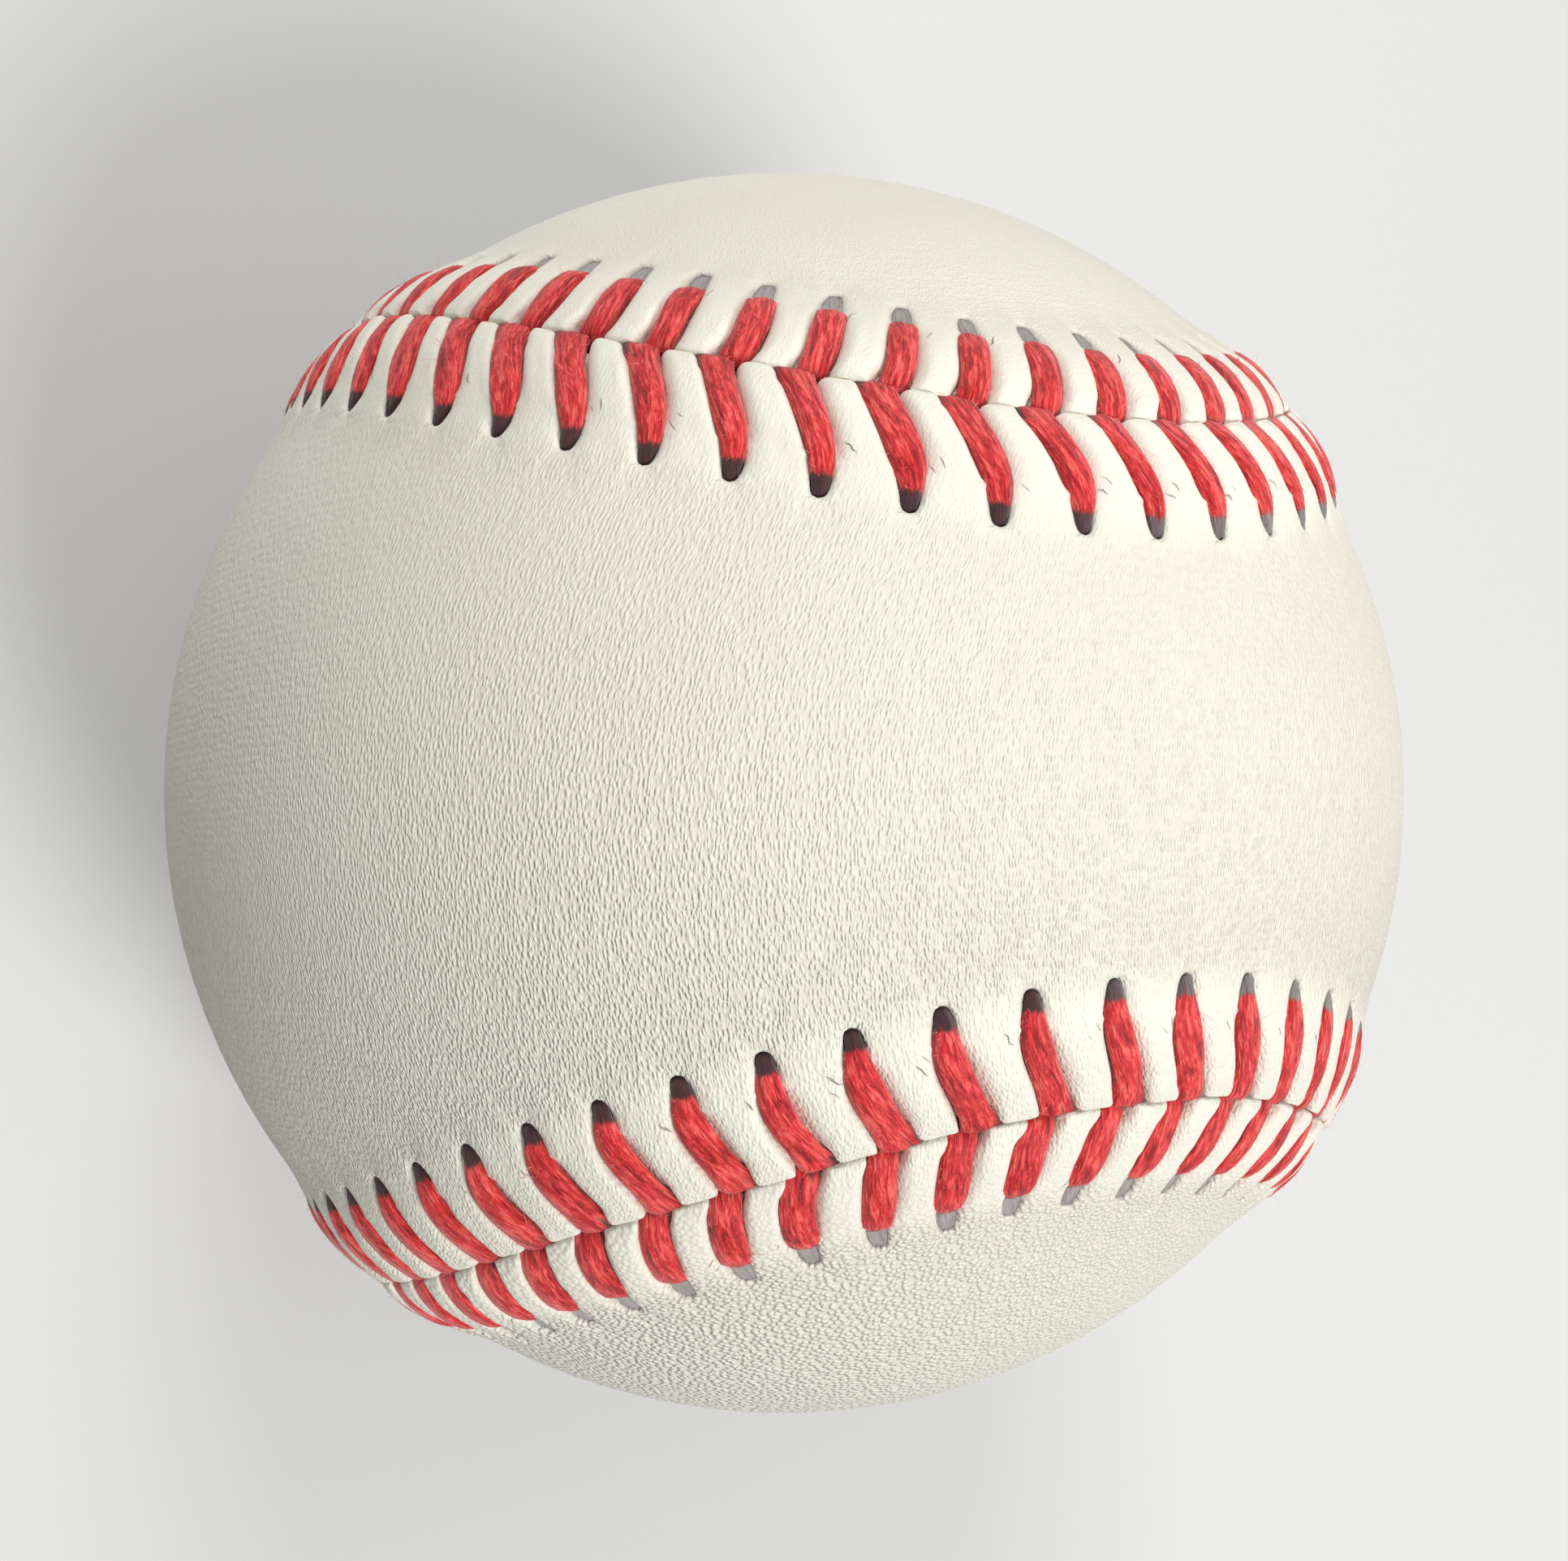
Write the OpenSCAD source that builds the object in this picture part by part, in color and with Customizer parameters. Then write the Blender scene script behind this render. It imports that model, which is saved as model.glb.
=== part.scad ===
// Baseball: a cork and rubber pill, four yarn windings, a cement coat,
// two figure-eight leather covers and the two waxed threads that lace them.
// The origin is the ball's centre. Each cover's waist lies on the Z axis.

/* [Pill] */
// Radius of the cork ball at the centre
cork_r = 10.3; // [9.5:0.1:11.5]
// Wall of the two black rubber shells round the cork
black_wall = 4.7; // [4:0.1:5.5]
// Thickness of the red rubber washer between the black shells
washer_t = 0.8; // [0.5:0.1:1.5]
// Wall of the red rubber shell
red_wall = 2.35; // [1.8:0.05:3]

/* [Windings] */
// Depth of the first winding, of thick grey wool yarn
first_winding_t = 13.6; // [12:0.1:15]
// Depth of the second winding, of white wool yarn
second_winding_t = 1.65; // [1.2:0.05:2.5]
// Depth of the third winding, of thin grey wool yarn
third_winding_t = 2; // [1.4:0.1:2.8]
// Depth of the finishing winding, of fine cotton yarn
finishing_winding_t = 0.4; // [0.3:0.05:0.8]
// Thickness of the rubber cement over the yarn
cement_t = 0.1; // [0.08:0.01:0.2]
// Thin joint left between one layer and the next
layer_gap = 0.05; // [0.03:0.01:0.1]

/* [Cover] */
// Thickness of the leather
leather_t = 1.25; // [1:0.05:1.5]
// Space between the cement and the leather, for the flat facets
cover_clearance = 0.2; // [0.16:0.02:0.3]
// Height of the leather's raised border above the ball
ridge_h = 0.8; // [0.5:0.05:1.1]
// Height of the thread's way under the raised border
tunnel_h = 0.7; // [0.65:0.05:0.9]
// Distance from the seam to the top of the raised border
crest_at = 1.4; // [1.1:0.1:2]
// Distance from the seam to the foot of the raised border
foot_at = 8.2; // [7.5:0.1:9.5]
// Gap between the covers where their edges meet
seam_gap = 0.1; // [0.06:0.02:0.2]
// Distance from the seam to the edge where the threads go down
notch_at = 0.55; // [0.5:0.05:0.7]
// Width of the notch that both threads go down
notch_w = 2.5; // [2.45:0.05:2.7]

/* [Stitches] */
// Number of stitches along the seam
stitches = 108; // [100:4:112]
// Distance from the seam to the near end of a stitch hole
hole_near = 4.3; // [4:0.1:4.6]
// Distance from the seam to the far end of a stitch hole
hole_far = 6.1; // [5.9:0.1:6.6]
// Width of a stitch hole
hole_w = 1.3; // [1.2:0.05:1.5]
// Distance that the crossing of the threads lies ahead of their holes
cross_lead = 1.1; // [0.9:0.1:1.3]
// Distance between the two threads where they go down the seam
thread_split = 1.2; // [1.18:0.02:1.3]

/* [Thread] */
// Greatest width of the thread on the leather
thread_w = 1.6; // [1.3:0.05:1.75]
// Distance from the seam to the thread's widest place
belly_at = 2.5; // [2:0.1:3]
// Width of the thread where it bends over the end of its hole
thread_neck_w = 1.1; // [0.9:0.05:1.2]
// Thickness of the thread where it lies on the leather
thread_t = 0.72; // [0.5:0.02:0.8]
// Width of the thread in the seam
thread_seam_w = 1.1; // [0.9:0.05:1.15]
// Width of the thread under a hole
thread_hole_w = 0.9; // [0.7:0.05:1]
// Thickness of the thread under the leather
thread_under_t = 0.55; // [0.4:0.05:0.6]
// Clearance between the thread and the leather
thread_clearance = 0.08; // [0.05:0.01:0.12]
// Distance from the seam to the bend of the thread at the seam
bend_at = 0.3; // [0.2:0.05:0.35]
// Distance from a hole's near end to the bend of the thread over it
hole_bend = 0.35; // [0.3:0.05:0.5]

/* [Hidden] */
$fn = 96;

// Angles of the seam's figure-eight path, in degrees
swing_angle = 70.2;
swing_trim_angle = -5.2;
bulge_angle = 15.1;
bulge_trim_angle = -2.55;
spine_angle = 108;

// How far a cut runs past the solid
overrun = 1;
// How far the hole spacing follows its own line and not the seam's
hole_spacing_share = 0.29;
// Place of the first stitch, as a share of the pitch
phase_share = 0.57;
// Heights of the border as shares of the ridge: edge, crest, hole near, hole far
valley_shares = [0.05, 0.35, 0.3, 0];
pillow_shares = [0.4, 1, 0.75, 0.2];
// Height of the border's inside at a hole's far end, as a share of the tunnel
far_tunnel_share = 0.6;
// Places of the rows between the border's foot and the middle of a cover
row_shares = [0.25, 0.5, 0.73, 0.92];
// End of a thread, as a share of the way to its first hole
tail_share = 0.55;

// Radii, from the centre out
black_in_r = cork_r + layer_gap;
black_out_r = black_in_r + black_wall;
red_in_r = black_out_r + layer_gap;
red_out_r = red_in_r + red_wall;
first_out_r = red_out_r + layer_gap + first_winding_t;
second_out_r = first_out_r + layer_gap + second_winding_t;
third_out_r = second_out_r + layer_gap + third_winding_t;
finishing_out_r = third_out_r + layer_gap + finishing_winding_t;
cement_out_r = finishing_out_r + layer_gap + cement_t;
cover_in_r = cement_out_r + cover_clearance;
ball_r = cover_in_r + leather_t;

hole_mid = (hole_near + hole_far) / 2;
valley_w = thread_w + 2 * thread_clearance;
radian = 180 / PI;
// One trip round the seam, and the points that its lengths are measured between
whole_angle = 720;
table_step = 4;
spare_rows = 10;
small_angle = 0.1;
table_turns = [for (i = [-spare_rows:whole_angle / table_step + spare_rows]) i * table_step];
end_row = spare_rows + whole_angle / table_step;

function unit(v) = v / norm(v);
function mix(a, b, share) = a + (b - a) * share;

// The seam on a sphere of radius 1
function seam_point(turn) =
    let (
        lat = swing_angle * cos(turn) + swing_trim_angle * cos(3 * turn),
        lon = turn / 2 + bulge_angle * sin(2 * turn) + bulge_trim_angle * sin(4 * turn)
    )
    [cos(lat) * cos(lon), cos(lat) * sin(lon), sin(lat)];
function seam_run(turn) = unit(seam_point(turn + small_angle) - seam_point(turn - small_angle));
function seam_left(turn) = unit(cross(seam_point(turn), seam_run(turn)));
function beside(turn, side, angle) =
    seam_point(turn) * cos(angle) + seam_left(turn) * side * sin(angle);

// Lengths along a line of points, with zero at the turn zero
function lengths(points) =
    [for (i = 0, sum = 0; i < len(points);
          sum = sum + (i + 1 < len(points) ? norm(points[i + 1] - points[i]) : 0), i = i + 1) sum];
function length_shares(points) =
    let (sums = lengths(points), first = sums[spare_rows], whole = sums[end_row] - first)
    [for (sum = sums) (sum - first) / whole];
seam_points = [for (turn = table_turns) seam_point(turn)];
seam_sums = lengths(seam_points);
seam_shares = length_shares(seam_points);
seam_length = (seam_sums[end_row] - seam_sums[spare_rows]) * ball_r;
pitch = seam_length / stitches;

// Radii of the thread's middle at its bends. The run under the leather is
// straight, so its ends are raised by the run's sag.
run_sag = (pow(hole_mid, 2) + pow(pitch, 2)) / (8 * cement_out_r);
under_r = cement_out_r + run_sag + thread_clearance + thread_under_t / 2;
over_hole_r = ball_r + ridge_h * valley_shares[2] + thread_clearance + thread_t / 2;
over_seam_r = ball_r + ridge_h * valley_shares[1] + thread_clearance + thread_t / 2;

seam_table = [for (i = [0:len(table_turns) - 1]) [seam_shares[i], table_turns[i]]];
function hole_table(side) =
    let (own = length_shares([for (turn = table_turns) beside(turn, side, hole_mid / ball_r * radian)]))
    [for (i = [0:len(table_turns) - 1])
        [mix(seam_shares[i], own[i], hole_spacing_share), table_turns[i]]];
upper_table = hole_table(1);
lower_table = hole_table(-1);

// Direction of a spot: stitch number, side of the seam (1 upper cover, -1 lower
// cover), distance from the seam, and distance ahead of the stitch
function spot(k, side, away, ahead) =
    let (
        share = (k + phase_share + ahead / pitch) / stitches,
        at_seam = lookup(share, seam_table),
        at_hole = lookup(share, side > 0 ? upper_table : lower_table),
        turn = mix(at_seam, at_hole, min(1, away / hole_mid))
    )
    beside(turn, side, away / ball_r * radian);

// Where the middle of a stitch's thread is, ahead of its hole
function thread_ahead(side, away) =
    (cross_lead + side * thread_split / 2)
    * max(0, min(1, (hole_near + hole_bend - away) / (hole_near + hole_bend - bend_at)));

module layer(inner_r, outer_r) {
    difference() {
        sphere(outer_r);
        sphere(inner_r);
    }
}

// Half a shell, above a flat rim at the given height
module half_shell(inner_r, outer_r, rim_z) {
    rotate_extrude()
        intersection() {
            difference() {
                circle(outer_r);
                circle(inner_r);
            }
            translate([0, rim_z])
                square(outer_r);
        }
}

module cork_core() {
    color("peru") sphere(cork_r);
}

module black_shell_upper() {
    color([0.09, 0.09, 0.1]) half_shell(black_in_r, black_out_r, washer_t / 2 + layer_gap);
}

module black_shell_lower() {
    color([0.09, 0.09, 0.1])
        mirror([0, 0, 1])
            half_shell(black_in_r, black_out_r, washer_t / 2 + layer_gap);
}

module shell_washer() {
    color("firebrick")
        translate([0, 0, -washer_t / 2])
            difference() {
                cylinder(h = washer_t, r = black_out_r - layer_gap);
                translate([0, 0, -overrun])
                    cylinder(h = washer_t + 2 * overrun, r = black_in_r);
            }
}

module red_shell() {
    color("crimson") layer(red_in_r, red_out_r);
}

module first_winding() {
    color("grey") layer(red_out_r + layer_gap, first_out_r);
}

module second_winding() {
    color("ghostwhite") layer(first_out_r + layer_gap, second_out_r);
}

module third_winding() {
    color("darkgrey") layer(second_out_r + layer_gap, third_out_r);
}

module finishing_winding() {
    color("whitesmoke") layer(third_out_r + layer_gap, finishing_out_r);
}

module cement_coat() {
    color("dimgrey") layer(finishing_out_r + layer_gap, cement_out_r);
}

// Rings of a cover. A fine ring has three points a stitch, which are the two
// sides of the thread's valley and the top of the pillow between two threads.
function fine_ring(side, valley_away, pillow_away, middle, valley, pillow, valley_r, pillow_r) =
    [for (k = [0:stitches - 1], j = [0:2])
        j == 2
            ? pillow_r * spot(k, side, pillow_away, pillow)
            : valley_r * spot(k, side, valley_away, middle + (j - 0.5) * valley)];
function coarse_ring(side, away, ahead, r) =
    [for (k = [0:stitches - 1]) r * spot(k, side, away, ahead)];

// A point on the line down the middle of a cover, beside a stitch
function spine_point(k, side) =
    let (
        around = (k + phase_share) / stitches * 360,
        angle = spine_angle * (side > 0 ? sin(around) : cos(around))
    )
    side > 0 ? [0, sin(angle), cos(angle)] : [sin(angle), 0, -cos(angle)];
function inward_ring(side, share, r) =
    [for (k = [0:stitches - 1])
        r * unit(mix(spot(k, side, foot_at, 0), spine_point(k, side), share))];

function upper_ridge(i) = ball_r + ridge_h * pillow_shares[i];
function lower_ridge(i) = ball_r + ridge_h * valley_shares[i];

function cover_rings(side) =
    let (crest = thread_ahead(side, crest_at), tunnel_r = cover_in_r + tunnel_h)
    [
        fine_ring(side, notch_at, seam_gap / 2, cross_lead, notch_w,
                  cross_lead + pitch / 2, lower_ridge(0), upper_ridge(0)),
        fine_ring(side, crest_at, crest_at, crest, valley_w,
                  crest + pitch / 2, lower_ridge(1), upper_ridge(1)),
        fine_ring(side, hole_near, hole_near, 0, hole_w, pitch / 2, lower_ridge(2), upper_ridge(2)),
        fine_ring(side, hole_far, hole_far, 0, hole_w, pitch / 2, lower_ridge(3), upper_ridge(3)),
        coarse_ring(side, foot_at, 0, ball_r),
        each [for (share = row_shares) inward_ring(side, share, ball_r)],
        coarse_ring(side, notch_at, cross_lead, tunnel_r),
        fine_ring(side, hole_near, hole_near, 0, hole_w, pitch / 2, tunnel_r, tunnel_r),
        fine_ring(side, hole_far, hole_far, 0, hole_w, pitch / 2,
                  cover_in_r + tunnel_h * far_tunnel_share, cover_in_r + tunnel_h * far_tunnel_share),
        coarse_ring(side, foot_at, 0, cover_in_r),
        each [for (share = row_shares) inward_ring(side, share, cover_in_r)]
    ];

// Triangles between rings that start at the points a and b of the point list
function quad(p, q, r, s) = [[p, q, r], [p, r, s]];
function fine_strip(a, b, with_holes) =
    let (n = 3 * stitches)
    [for (i = [0:n - 1]) if (!with_holes || i % 3 != 0)
        each quad(a + i, b + i, b + (i + 1) % n, a + (i + 1) % n)];
function coarse_strip(a, b) =
    [for (i = [0:stitches - 1])
        each quad(a + i, b + i, b + (i + 1) % stitches, a + (i + 1) % stitches)];
function fan_strip(fine, coarse) =
    [for (i = [0:stitches - 1])
        let (here = coarse + i, next = coarse + (i + 1) % stitches,
             p = fine + 3 * i, last = fine + (3 * i + 3) % (3 * stitches))
        each [[p, here, p + 1], [p + 1, here, p + 2], [p + 2, here, next], [p + 2, next, last]]];
function middle_strip(ring, first) =
    [for (i = [0:stitches / 2 - 2])
        let (p = (first + i) % stitches, q = (first + i + 1) % stitches,
             r = (first + stitches - 2 - i) % stitches, s = (first + stitches - 1 - i) % stitches)
        each quad(ring + p, ring + s, ring + r, ring + q)];
function hole_walls(near, far, under_near, under_far) =
    [for (i = [0:3:3 * stitches - 1])
        each [
            each quad(near + i, near + i + 1, under_near + i + 1, under_near + i),
            each quad(near + i + 1, far + i + 1, under_far + i + 1, under_near + i + 1),
            each quad(far + i + 1, far + i, under_far + i, under_far + i + 1),
            each quad(far + i, near + i, under_near + i, under_far + i)
        ]];
function turned(faces) = [for (f = faces) [f[2], f[1], f[0]]];

module cover(side) {
    rings = cover_rings(side);
    at = lengths_before(rings);
    rows = len(row_shares);
    under = 5 + rows;
    first = ceil((side > 0 ? stitches / 4 : 0) - phase_share);
    outside = [
        each fine_strip(at[0], at[1], false),
        each fine_strip(at[1], at[2], false),
        each fine_strip(at[2], at[3], true),
        each fan_strip(at[3], at[4]),
        each [for (i = [0:rows - 1]) each coarse_strip(at[4 + i], at[5 + i])],
        each middle_strip(at[4 + rows], first)
    ];
    inside = [
        each turned(fan_strip(at[under + 1], at[under])),
        each fine_strip(at[under + 1], at[under + 2], true),
        each fan_strip(at[under + 2], at[under + 3]),
        each [for (i = [0:rows - 1]) each coarse_strip(at[under + 3 + i], at[under + 4 + i])],
        each middle_strip(at[under + 3 + rows], first)
    ];
    edge = turned(fan_strip(at[0], at[under]));
    walls = hole_walls(at[2], at[3], at[under + 1], at[under + 2]);
    faces = [each outside, each turned(inside), each edge, each turned(walls)];
    polyhedron([for (ring = rings) each ring], side > 0 ? faces : turned(faces), convexity = 10);
}
function lengths_before(rings) =
    [for (i = 0, sum = 0; i < len(rings); sum = sum + len(rings[i]), i = i + 1) sum];

module cover_upper() {
    color("linen") cover(1);
}

module cover_lower() {
    color("linen") cover(-1);
}

// A thread goes up through a hole, over the leather to the seam, down between
// the covers and under the other cover to that cover's next hole.
// Each entry is [place, direction along the seam, width, thickness, section].
function bend(k, side, away, ahead, r, w, t) =
    let (here = spot(k, side, away, ahead), ahead_spot = spot(k, side, away, ahead + hole_w))
    [here * r, unit(ahead_spot - here), w, t];
function with_section(bends, shares) = [for (b = bends) [b[0], b[1], b[2], b[3], shares]];
function stitch_bends(k, side) =
    let (lead = thread_ahead(side, bend_at))
    with_section([
        bend(k, side, hole_mid + hole_bend / 2, 0, under_r, thread_hole_w, thread_under_t),
        bend(k, side, hole_near + hole_bend, 0, over_hole_r, thread_neck_w, thread_t),
        bend(k, side, belly_at, thread_ahead(side, belly_at), over_seam_r, thread_w, thread_t),
        bend(k, side, bend_at, lead, over_seam_r, thread_seam_w, thread_t),
        bend(k, -side, bend_at, lead, under_r, thread_seam_w, thread_under_t)
    ], side > 0 ? upper_section_shares : lower_section_shares);
function thread_bends(first_side) =
    let (
        whole = [for (k = [0:stitches - 1]) each stitch_bends(k, k % 2 == 0 ? first_side : -first_side)],
        last = whole[len(whole) - 1],
        tail = [mix(last[0], whole[0][0], tail_share), last[1], last[2], last[3], last[4]]
    )
    [each whole, tail];

// Corners of the thread's section, as shares of its width and thickness. The
// thread turns over between its two sides, so the flat back changes places.
lower_section_shares = [[0.5, -0.1], [0.3, 0.5], [-0.3, 0.5], [-0.5, -0.1], [0, -0.5]];
upper_section_shares = [[0.5, 0.1], [0, 0.5], [-0.5, 0.1], [-0.3, -0.5], [0.3, -0.5]];

module lacing_thread(first_side) {
    bends = thread_bends(first_side);
    n = len(bends);
    c = len(lower_section_shares);
    points = [
        for (i = [0:n - 1])
            let (
                b = bends[i],
                way = unit(bends[min(i + 1, n - 1)][0] - bends[max(i - 1, 0)][0]),
                across = unit(cross(b[1], way))
            )
            for (share = b[4]) b[0] + b[1] * b[2] * share[0] + across * b[3] * share[1]
    ];
    sides = [
        for (i = [0:n - 2], j = [0:c - 1])
            each quad(i * c + j, i * c + (j + 1) % c, (i + 1) * c + (j + 1) % c, (i + 1) * c + j)
    ];
    start = [for (j = [1:c - 2]) [0, j + 1, j]];
    end = [for (j = [1:c - 2]) [(n - 1) * c, (n - 1) * c + j, (n - 1) * c + j + 1]];
    polyhedron(points, [each sides, each start, each end], convexity = 10);
}

module lacing_thread_first() {
    color("crimson") lacing_thread(1);
}

module lacing_thread_second() {
    color("crimson") lacing_thread(-1);
}

cork_core();
black_shell_upper();
black_shell_lower();
shell_washer();
red_shell();
first_winding();
second_winding();
third_winding();
finishing_winding();
cement_coat();
cover_upper();
cover_lower();
lacing_thread_first();
lacing_thread_second();
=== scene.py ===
import math

import bpy
import numpy as np
from mathutils import Matrix, Vector


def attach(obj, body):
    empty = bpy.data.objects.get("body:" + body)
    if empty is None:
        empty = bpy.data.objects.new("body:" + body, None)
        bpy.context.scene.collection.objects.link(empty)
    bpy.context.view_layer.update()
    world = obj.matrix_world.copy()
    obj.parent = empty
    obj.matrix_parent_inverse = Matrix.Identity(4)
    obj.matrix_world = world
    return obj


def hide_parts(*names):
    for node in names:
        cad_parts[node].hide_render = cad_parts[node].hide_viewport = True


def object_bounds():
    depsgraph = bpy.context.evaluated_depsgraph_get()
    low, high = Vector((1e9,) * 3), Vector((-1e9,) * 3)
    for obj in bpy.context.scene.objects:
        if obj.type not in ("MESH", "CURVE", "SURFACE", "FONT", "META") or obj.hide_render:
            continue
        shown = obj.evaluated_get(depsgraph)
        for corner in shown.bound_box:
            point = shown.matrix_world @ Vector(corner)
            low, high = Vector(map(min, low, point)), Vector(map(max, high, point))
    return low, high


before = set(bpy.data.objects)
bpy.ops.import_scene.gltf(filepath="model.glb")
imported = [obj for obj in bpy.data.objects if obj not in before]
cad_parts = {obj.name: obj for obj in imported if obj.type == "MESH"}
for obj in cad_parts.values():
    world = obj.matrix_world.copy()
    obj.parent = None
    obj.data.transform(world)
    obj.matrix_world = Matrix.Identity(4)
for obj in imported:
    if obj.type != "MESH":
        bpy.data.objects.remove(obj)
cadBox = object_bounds()
bpy.ops.object.select_all(action="DESELECT")

mm = 0.001

# The same seam and stitch sizes as the CAD source, in millimetres and degrees
ballPlan = {
    "radius": 36.9,
    "innerRadius": 35.65,
    "stitches": 108,
    "swing": 70.2,
    "swingTrim": -5.2,
    "bulge": 15.1,
    "bulgeTrim": -2.55,
    "spineReach": 108.0,
    "holeSpacingShare": 0.29,
    "phaseShare": 0.57,
    "holeNear": 4.3,
    "holeFar": 6.1,
    "crossLead": 1.1,
    "threadSplit": 1.2,
}


# Seam geometry: every place is a direction from the ball's centre
def unit(v):
    return v / np.linalg.norm(v, axis=-1, keepdims=True)


def seamPoint(turn):
    t = np.radians(turn)
    lat = np.radians(ballPlan["swing"] * np.cos(t) + ballPlan["swingTrim"] * np.cos(3 * t))
    lon = t / 2 + np.radians(ballPlan["bulge"] * np.sin(2 * t) + ballPlan["bulgeTrim"] * np.sin(4 * t))
    return np.stack([np.cos(lat) * np.cos(lon), np.cos(lat) * np.sin(lon), np.sin(lat)], axis=-1)


def beside(turn, side, angle):
    here = seamPoint(turn)
    run = unit(seamPoint(turn + 0.1) - seamPoint(turn - 0.1))
    left = unit(np.cross(here, run))
    angle = np.asarray(angle)[..., None]
    return here * np.cos(angle) + left * side * np.sin(angle)


def lengthShares(points, first, last):
    steps = np.linalg.norm(np.diff(points, axis=0), axis=1)
    sums = np.concatenate([[0], np.cumsum(steps)])
    return (sums - sums[first]) / (sums[last] - sums[first])


holeMid = (ballPlan["holeNear"] + ballPlan["holeFar"]) / 2
# one trip round the seam is 720 degrees of turn, and the table runs on at both ends
spareTurn, fullTurn = 60, 720
turnTable = np.arange(-spareTurn, fullTurn + spareTurn + 0.1, 1.0)
firstRow, lastRow = spareTurn, spareTurn + fullTurn
seamShares = lengthShares(seamPoint(turnTable), firstRow, lastRow)
seamSteps = np.linalg.norm(np.diff(seamPoint(turnTable[firstRow:lastRow + 1]), axis=0), axis=1)
pitch = seamSteps.sum() * ballPlan["radius"] / ballPlan["stitches"]
holeShares = {}
holeAngles = np.full(len(turnTable), holeMid / ballPlan["radius"])
ownShare = ballPlan["holeSpacingShare"]
for side in (1, -1):
    own = lengthShares(beside(turnTable, side, holeAngles), firstRow, lastRow)
    holeShares[side] = seamShares * (1 - ownShare) + own * ownShare


# A spot lies beside stitch k on a cover, so far away from the seam and ahead of the hole, in millimetres
def spot(k, side, away, ahead):
    share = (k + ballPlan["phaseShare"] + ahead / pitch) / ballPlan["stitches"]
    atSeam = np.interp(share, seamShares, turnTable)
    atHole = np.interp(share, holeShares[side], turnTable)
    turn = atSeam + (atHole - atSeam) * np.minimum(1, away / holeMid)
    return beside(turn, side, away / ballPlan["radius"])


print("seam laid out, stitch pitch", round(float(pitch), 3), "mm")


# Small shaping helpers
def smoothStep(t):
    t = np.clip(t, 0, 1)
    return t * t * (3 - 2 * t)


def quarterRound(t):
    t = np.clip(t, 0, 1)
    return np.sqrt(1 - (1 - t) ** 2)


# A smooth curve through the knots, with no overshoot
def curveThrough(x, knots):
    xs, ys = np.array(knots, float).T
    d = np.diff(ys) / np.diff(xs)
    m = np.zeros(len(xs))
    both = d[:-1] * d[1:] > 0
    m[1:-1][both] = 2 * d[:-1][both] * d[1:][both] / (d[:-1][both] + d[1:][both])
    x = np.clip(x, xs[0], xs[-1])
    i = np.clip(np.searchsorted(xs, x, side="right") - 1, 0, len(xs) - 2)
    h = xs[i + 1] - xs[i]
    t = (x - xs[i]) / h
    return ((2 * t ** 3 - 3 * t ** 2 + 1) * ys[i] + (t ** 3 - 2 * t ** 2 + t) * h * m[i]
            + (3 * t ** 2 - 2 * t ** 3) * ys[i + 1] + (t ** 3 - t ** 2) * h * m[i + 1])


# Smooth noise from -1 to 1, which repeats after the given number of cells along x
def softNoise(x, y, cells, seed):
    table = np.random.default_rng(seed).random((cells, 64)) * 2 - 1
    xi, yi = np.floor(x).astype(int), np.floor(y).astype(int)
    fx, fy = smoothStep(x - xi), smoothStep(y - yi)
    a, b = table[xi % cells, yi % 64], table[(xi + 1) % cells, yi % 64]
    c, d = table[xi % cells, (yi + 1) % 64], table[(xi + 1) % cells, (yi + 1) % 64]
    return (a * (1 - fx) + b * fx) * (1 - fy) + (c * (1 - fx) + d * fx) * fy


# Triangles and quads between two open lines of point numbers, whichever line is behind going first
def bridge(a, b):
    faces, i, j = [], 0, 0
    n, m = len(a) - 1, len(b) - 1
    while i < n or j < m:
        nextA = (i + 1) / n if i < n else math.inf
        nextB = (j + 1) / m if j < m else math.inf
        if abs(nextA - nextB) < 1e-9:
            faces.append((a[i], b[j], b[j + 1], a[i + 1]))
            i, j = i + 1, j + 1
        elif nextA < nextB:
            faces.append((a[i], b[j], a[i + 1]))
            i += 1
        else:
            faces.append((a[i], b[j], b[j + 1]))
            j += 1
    return faces


def closedBridge(a, b):
    return bridge(list(a) + [a[0]], list(b) + [b[0]])


def flipped(faces):
    return [tuple(reversed(face)) for face in faces]


# A new object from points in millimetres, faces, and values kept at its points
def newPiece(name, points, faces, values):
    mesh = bpy.data.meshes.new(name)
    mesh.from_pydata((points * mm).tolist(), [], faces)
    mesh.update()
    for attributeName, numbers in values.items():
        kind, key = ("FLOAT_VECTOR", "vector") if numbers.ndim == 2 else ("FLOAT", "value")
        layer = mesh.attributes.new(attributeName, kind, "POINT")
        layer.data.foreach_set(key, numbers.astype(np.float32).ravel())
    piece = bpy.data.objects.new(name, mesh)
    bpy.context.collection.objects.link(piece)
    return piece


# No two stitches are quite alike; the leather follows the width and lean of its thread
stitchPlan = {
    "widthVariation": 0.09,
    "leanVariation": 0.13,
    "heightVariation": 0.035,
    "seamPull": 0.35,
    "pullReach": 2.0,
    "leadReach": 4.65,
    "leadPower": 1.5,
    "leanReach": 4.6,
    "seed": 21,
}
stitchRng = np.random.default_rng(stitchPlan["seed"])
armWidth, armLean, armHeight = (
    {side: stitchPlan[key] * stitchRng.uniform(-1, 1, ballPlan["stitches"]) for side in (1, -1)}
    for key in ("widthVariation", "leanVariation", "heightVariation"))


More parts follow.
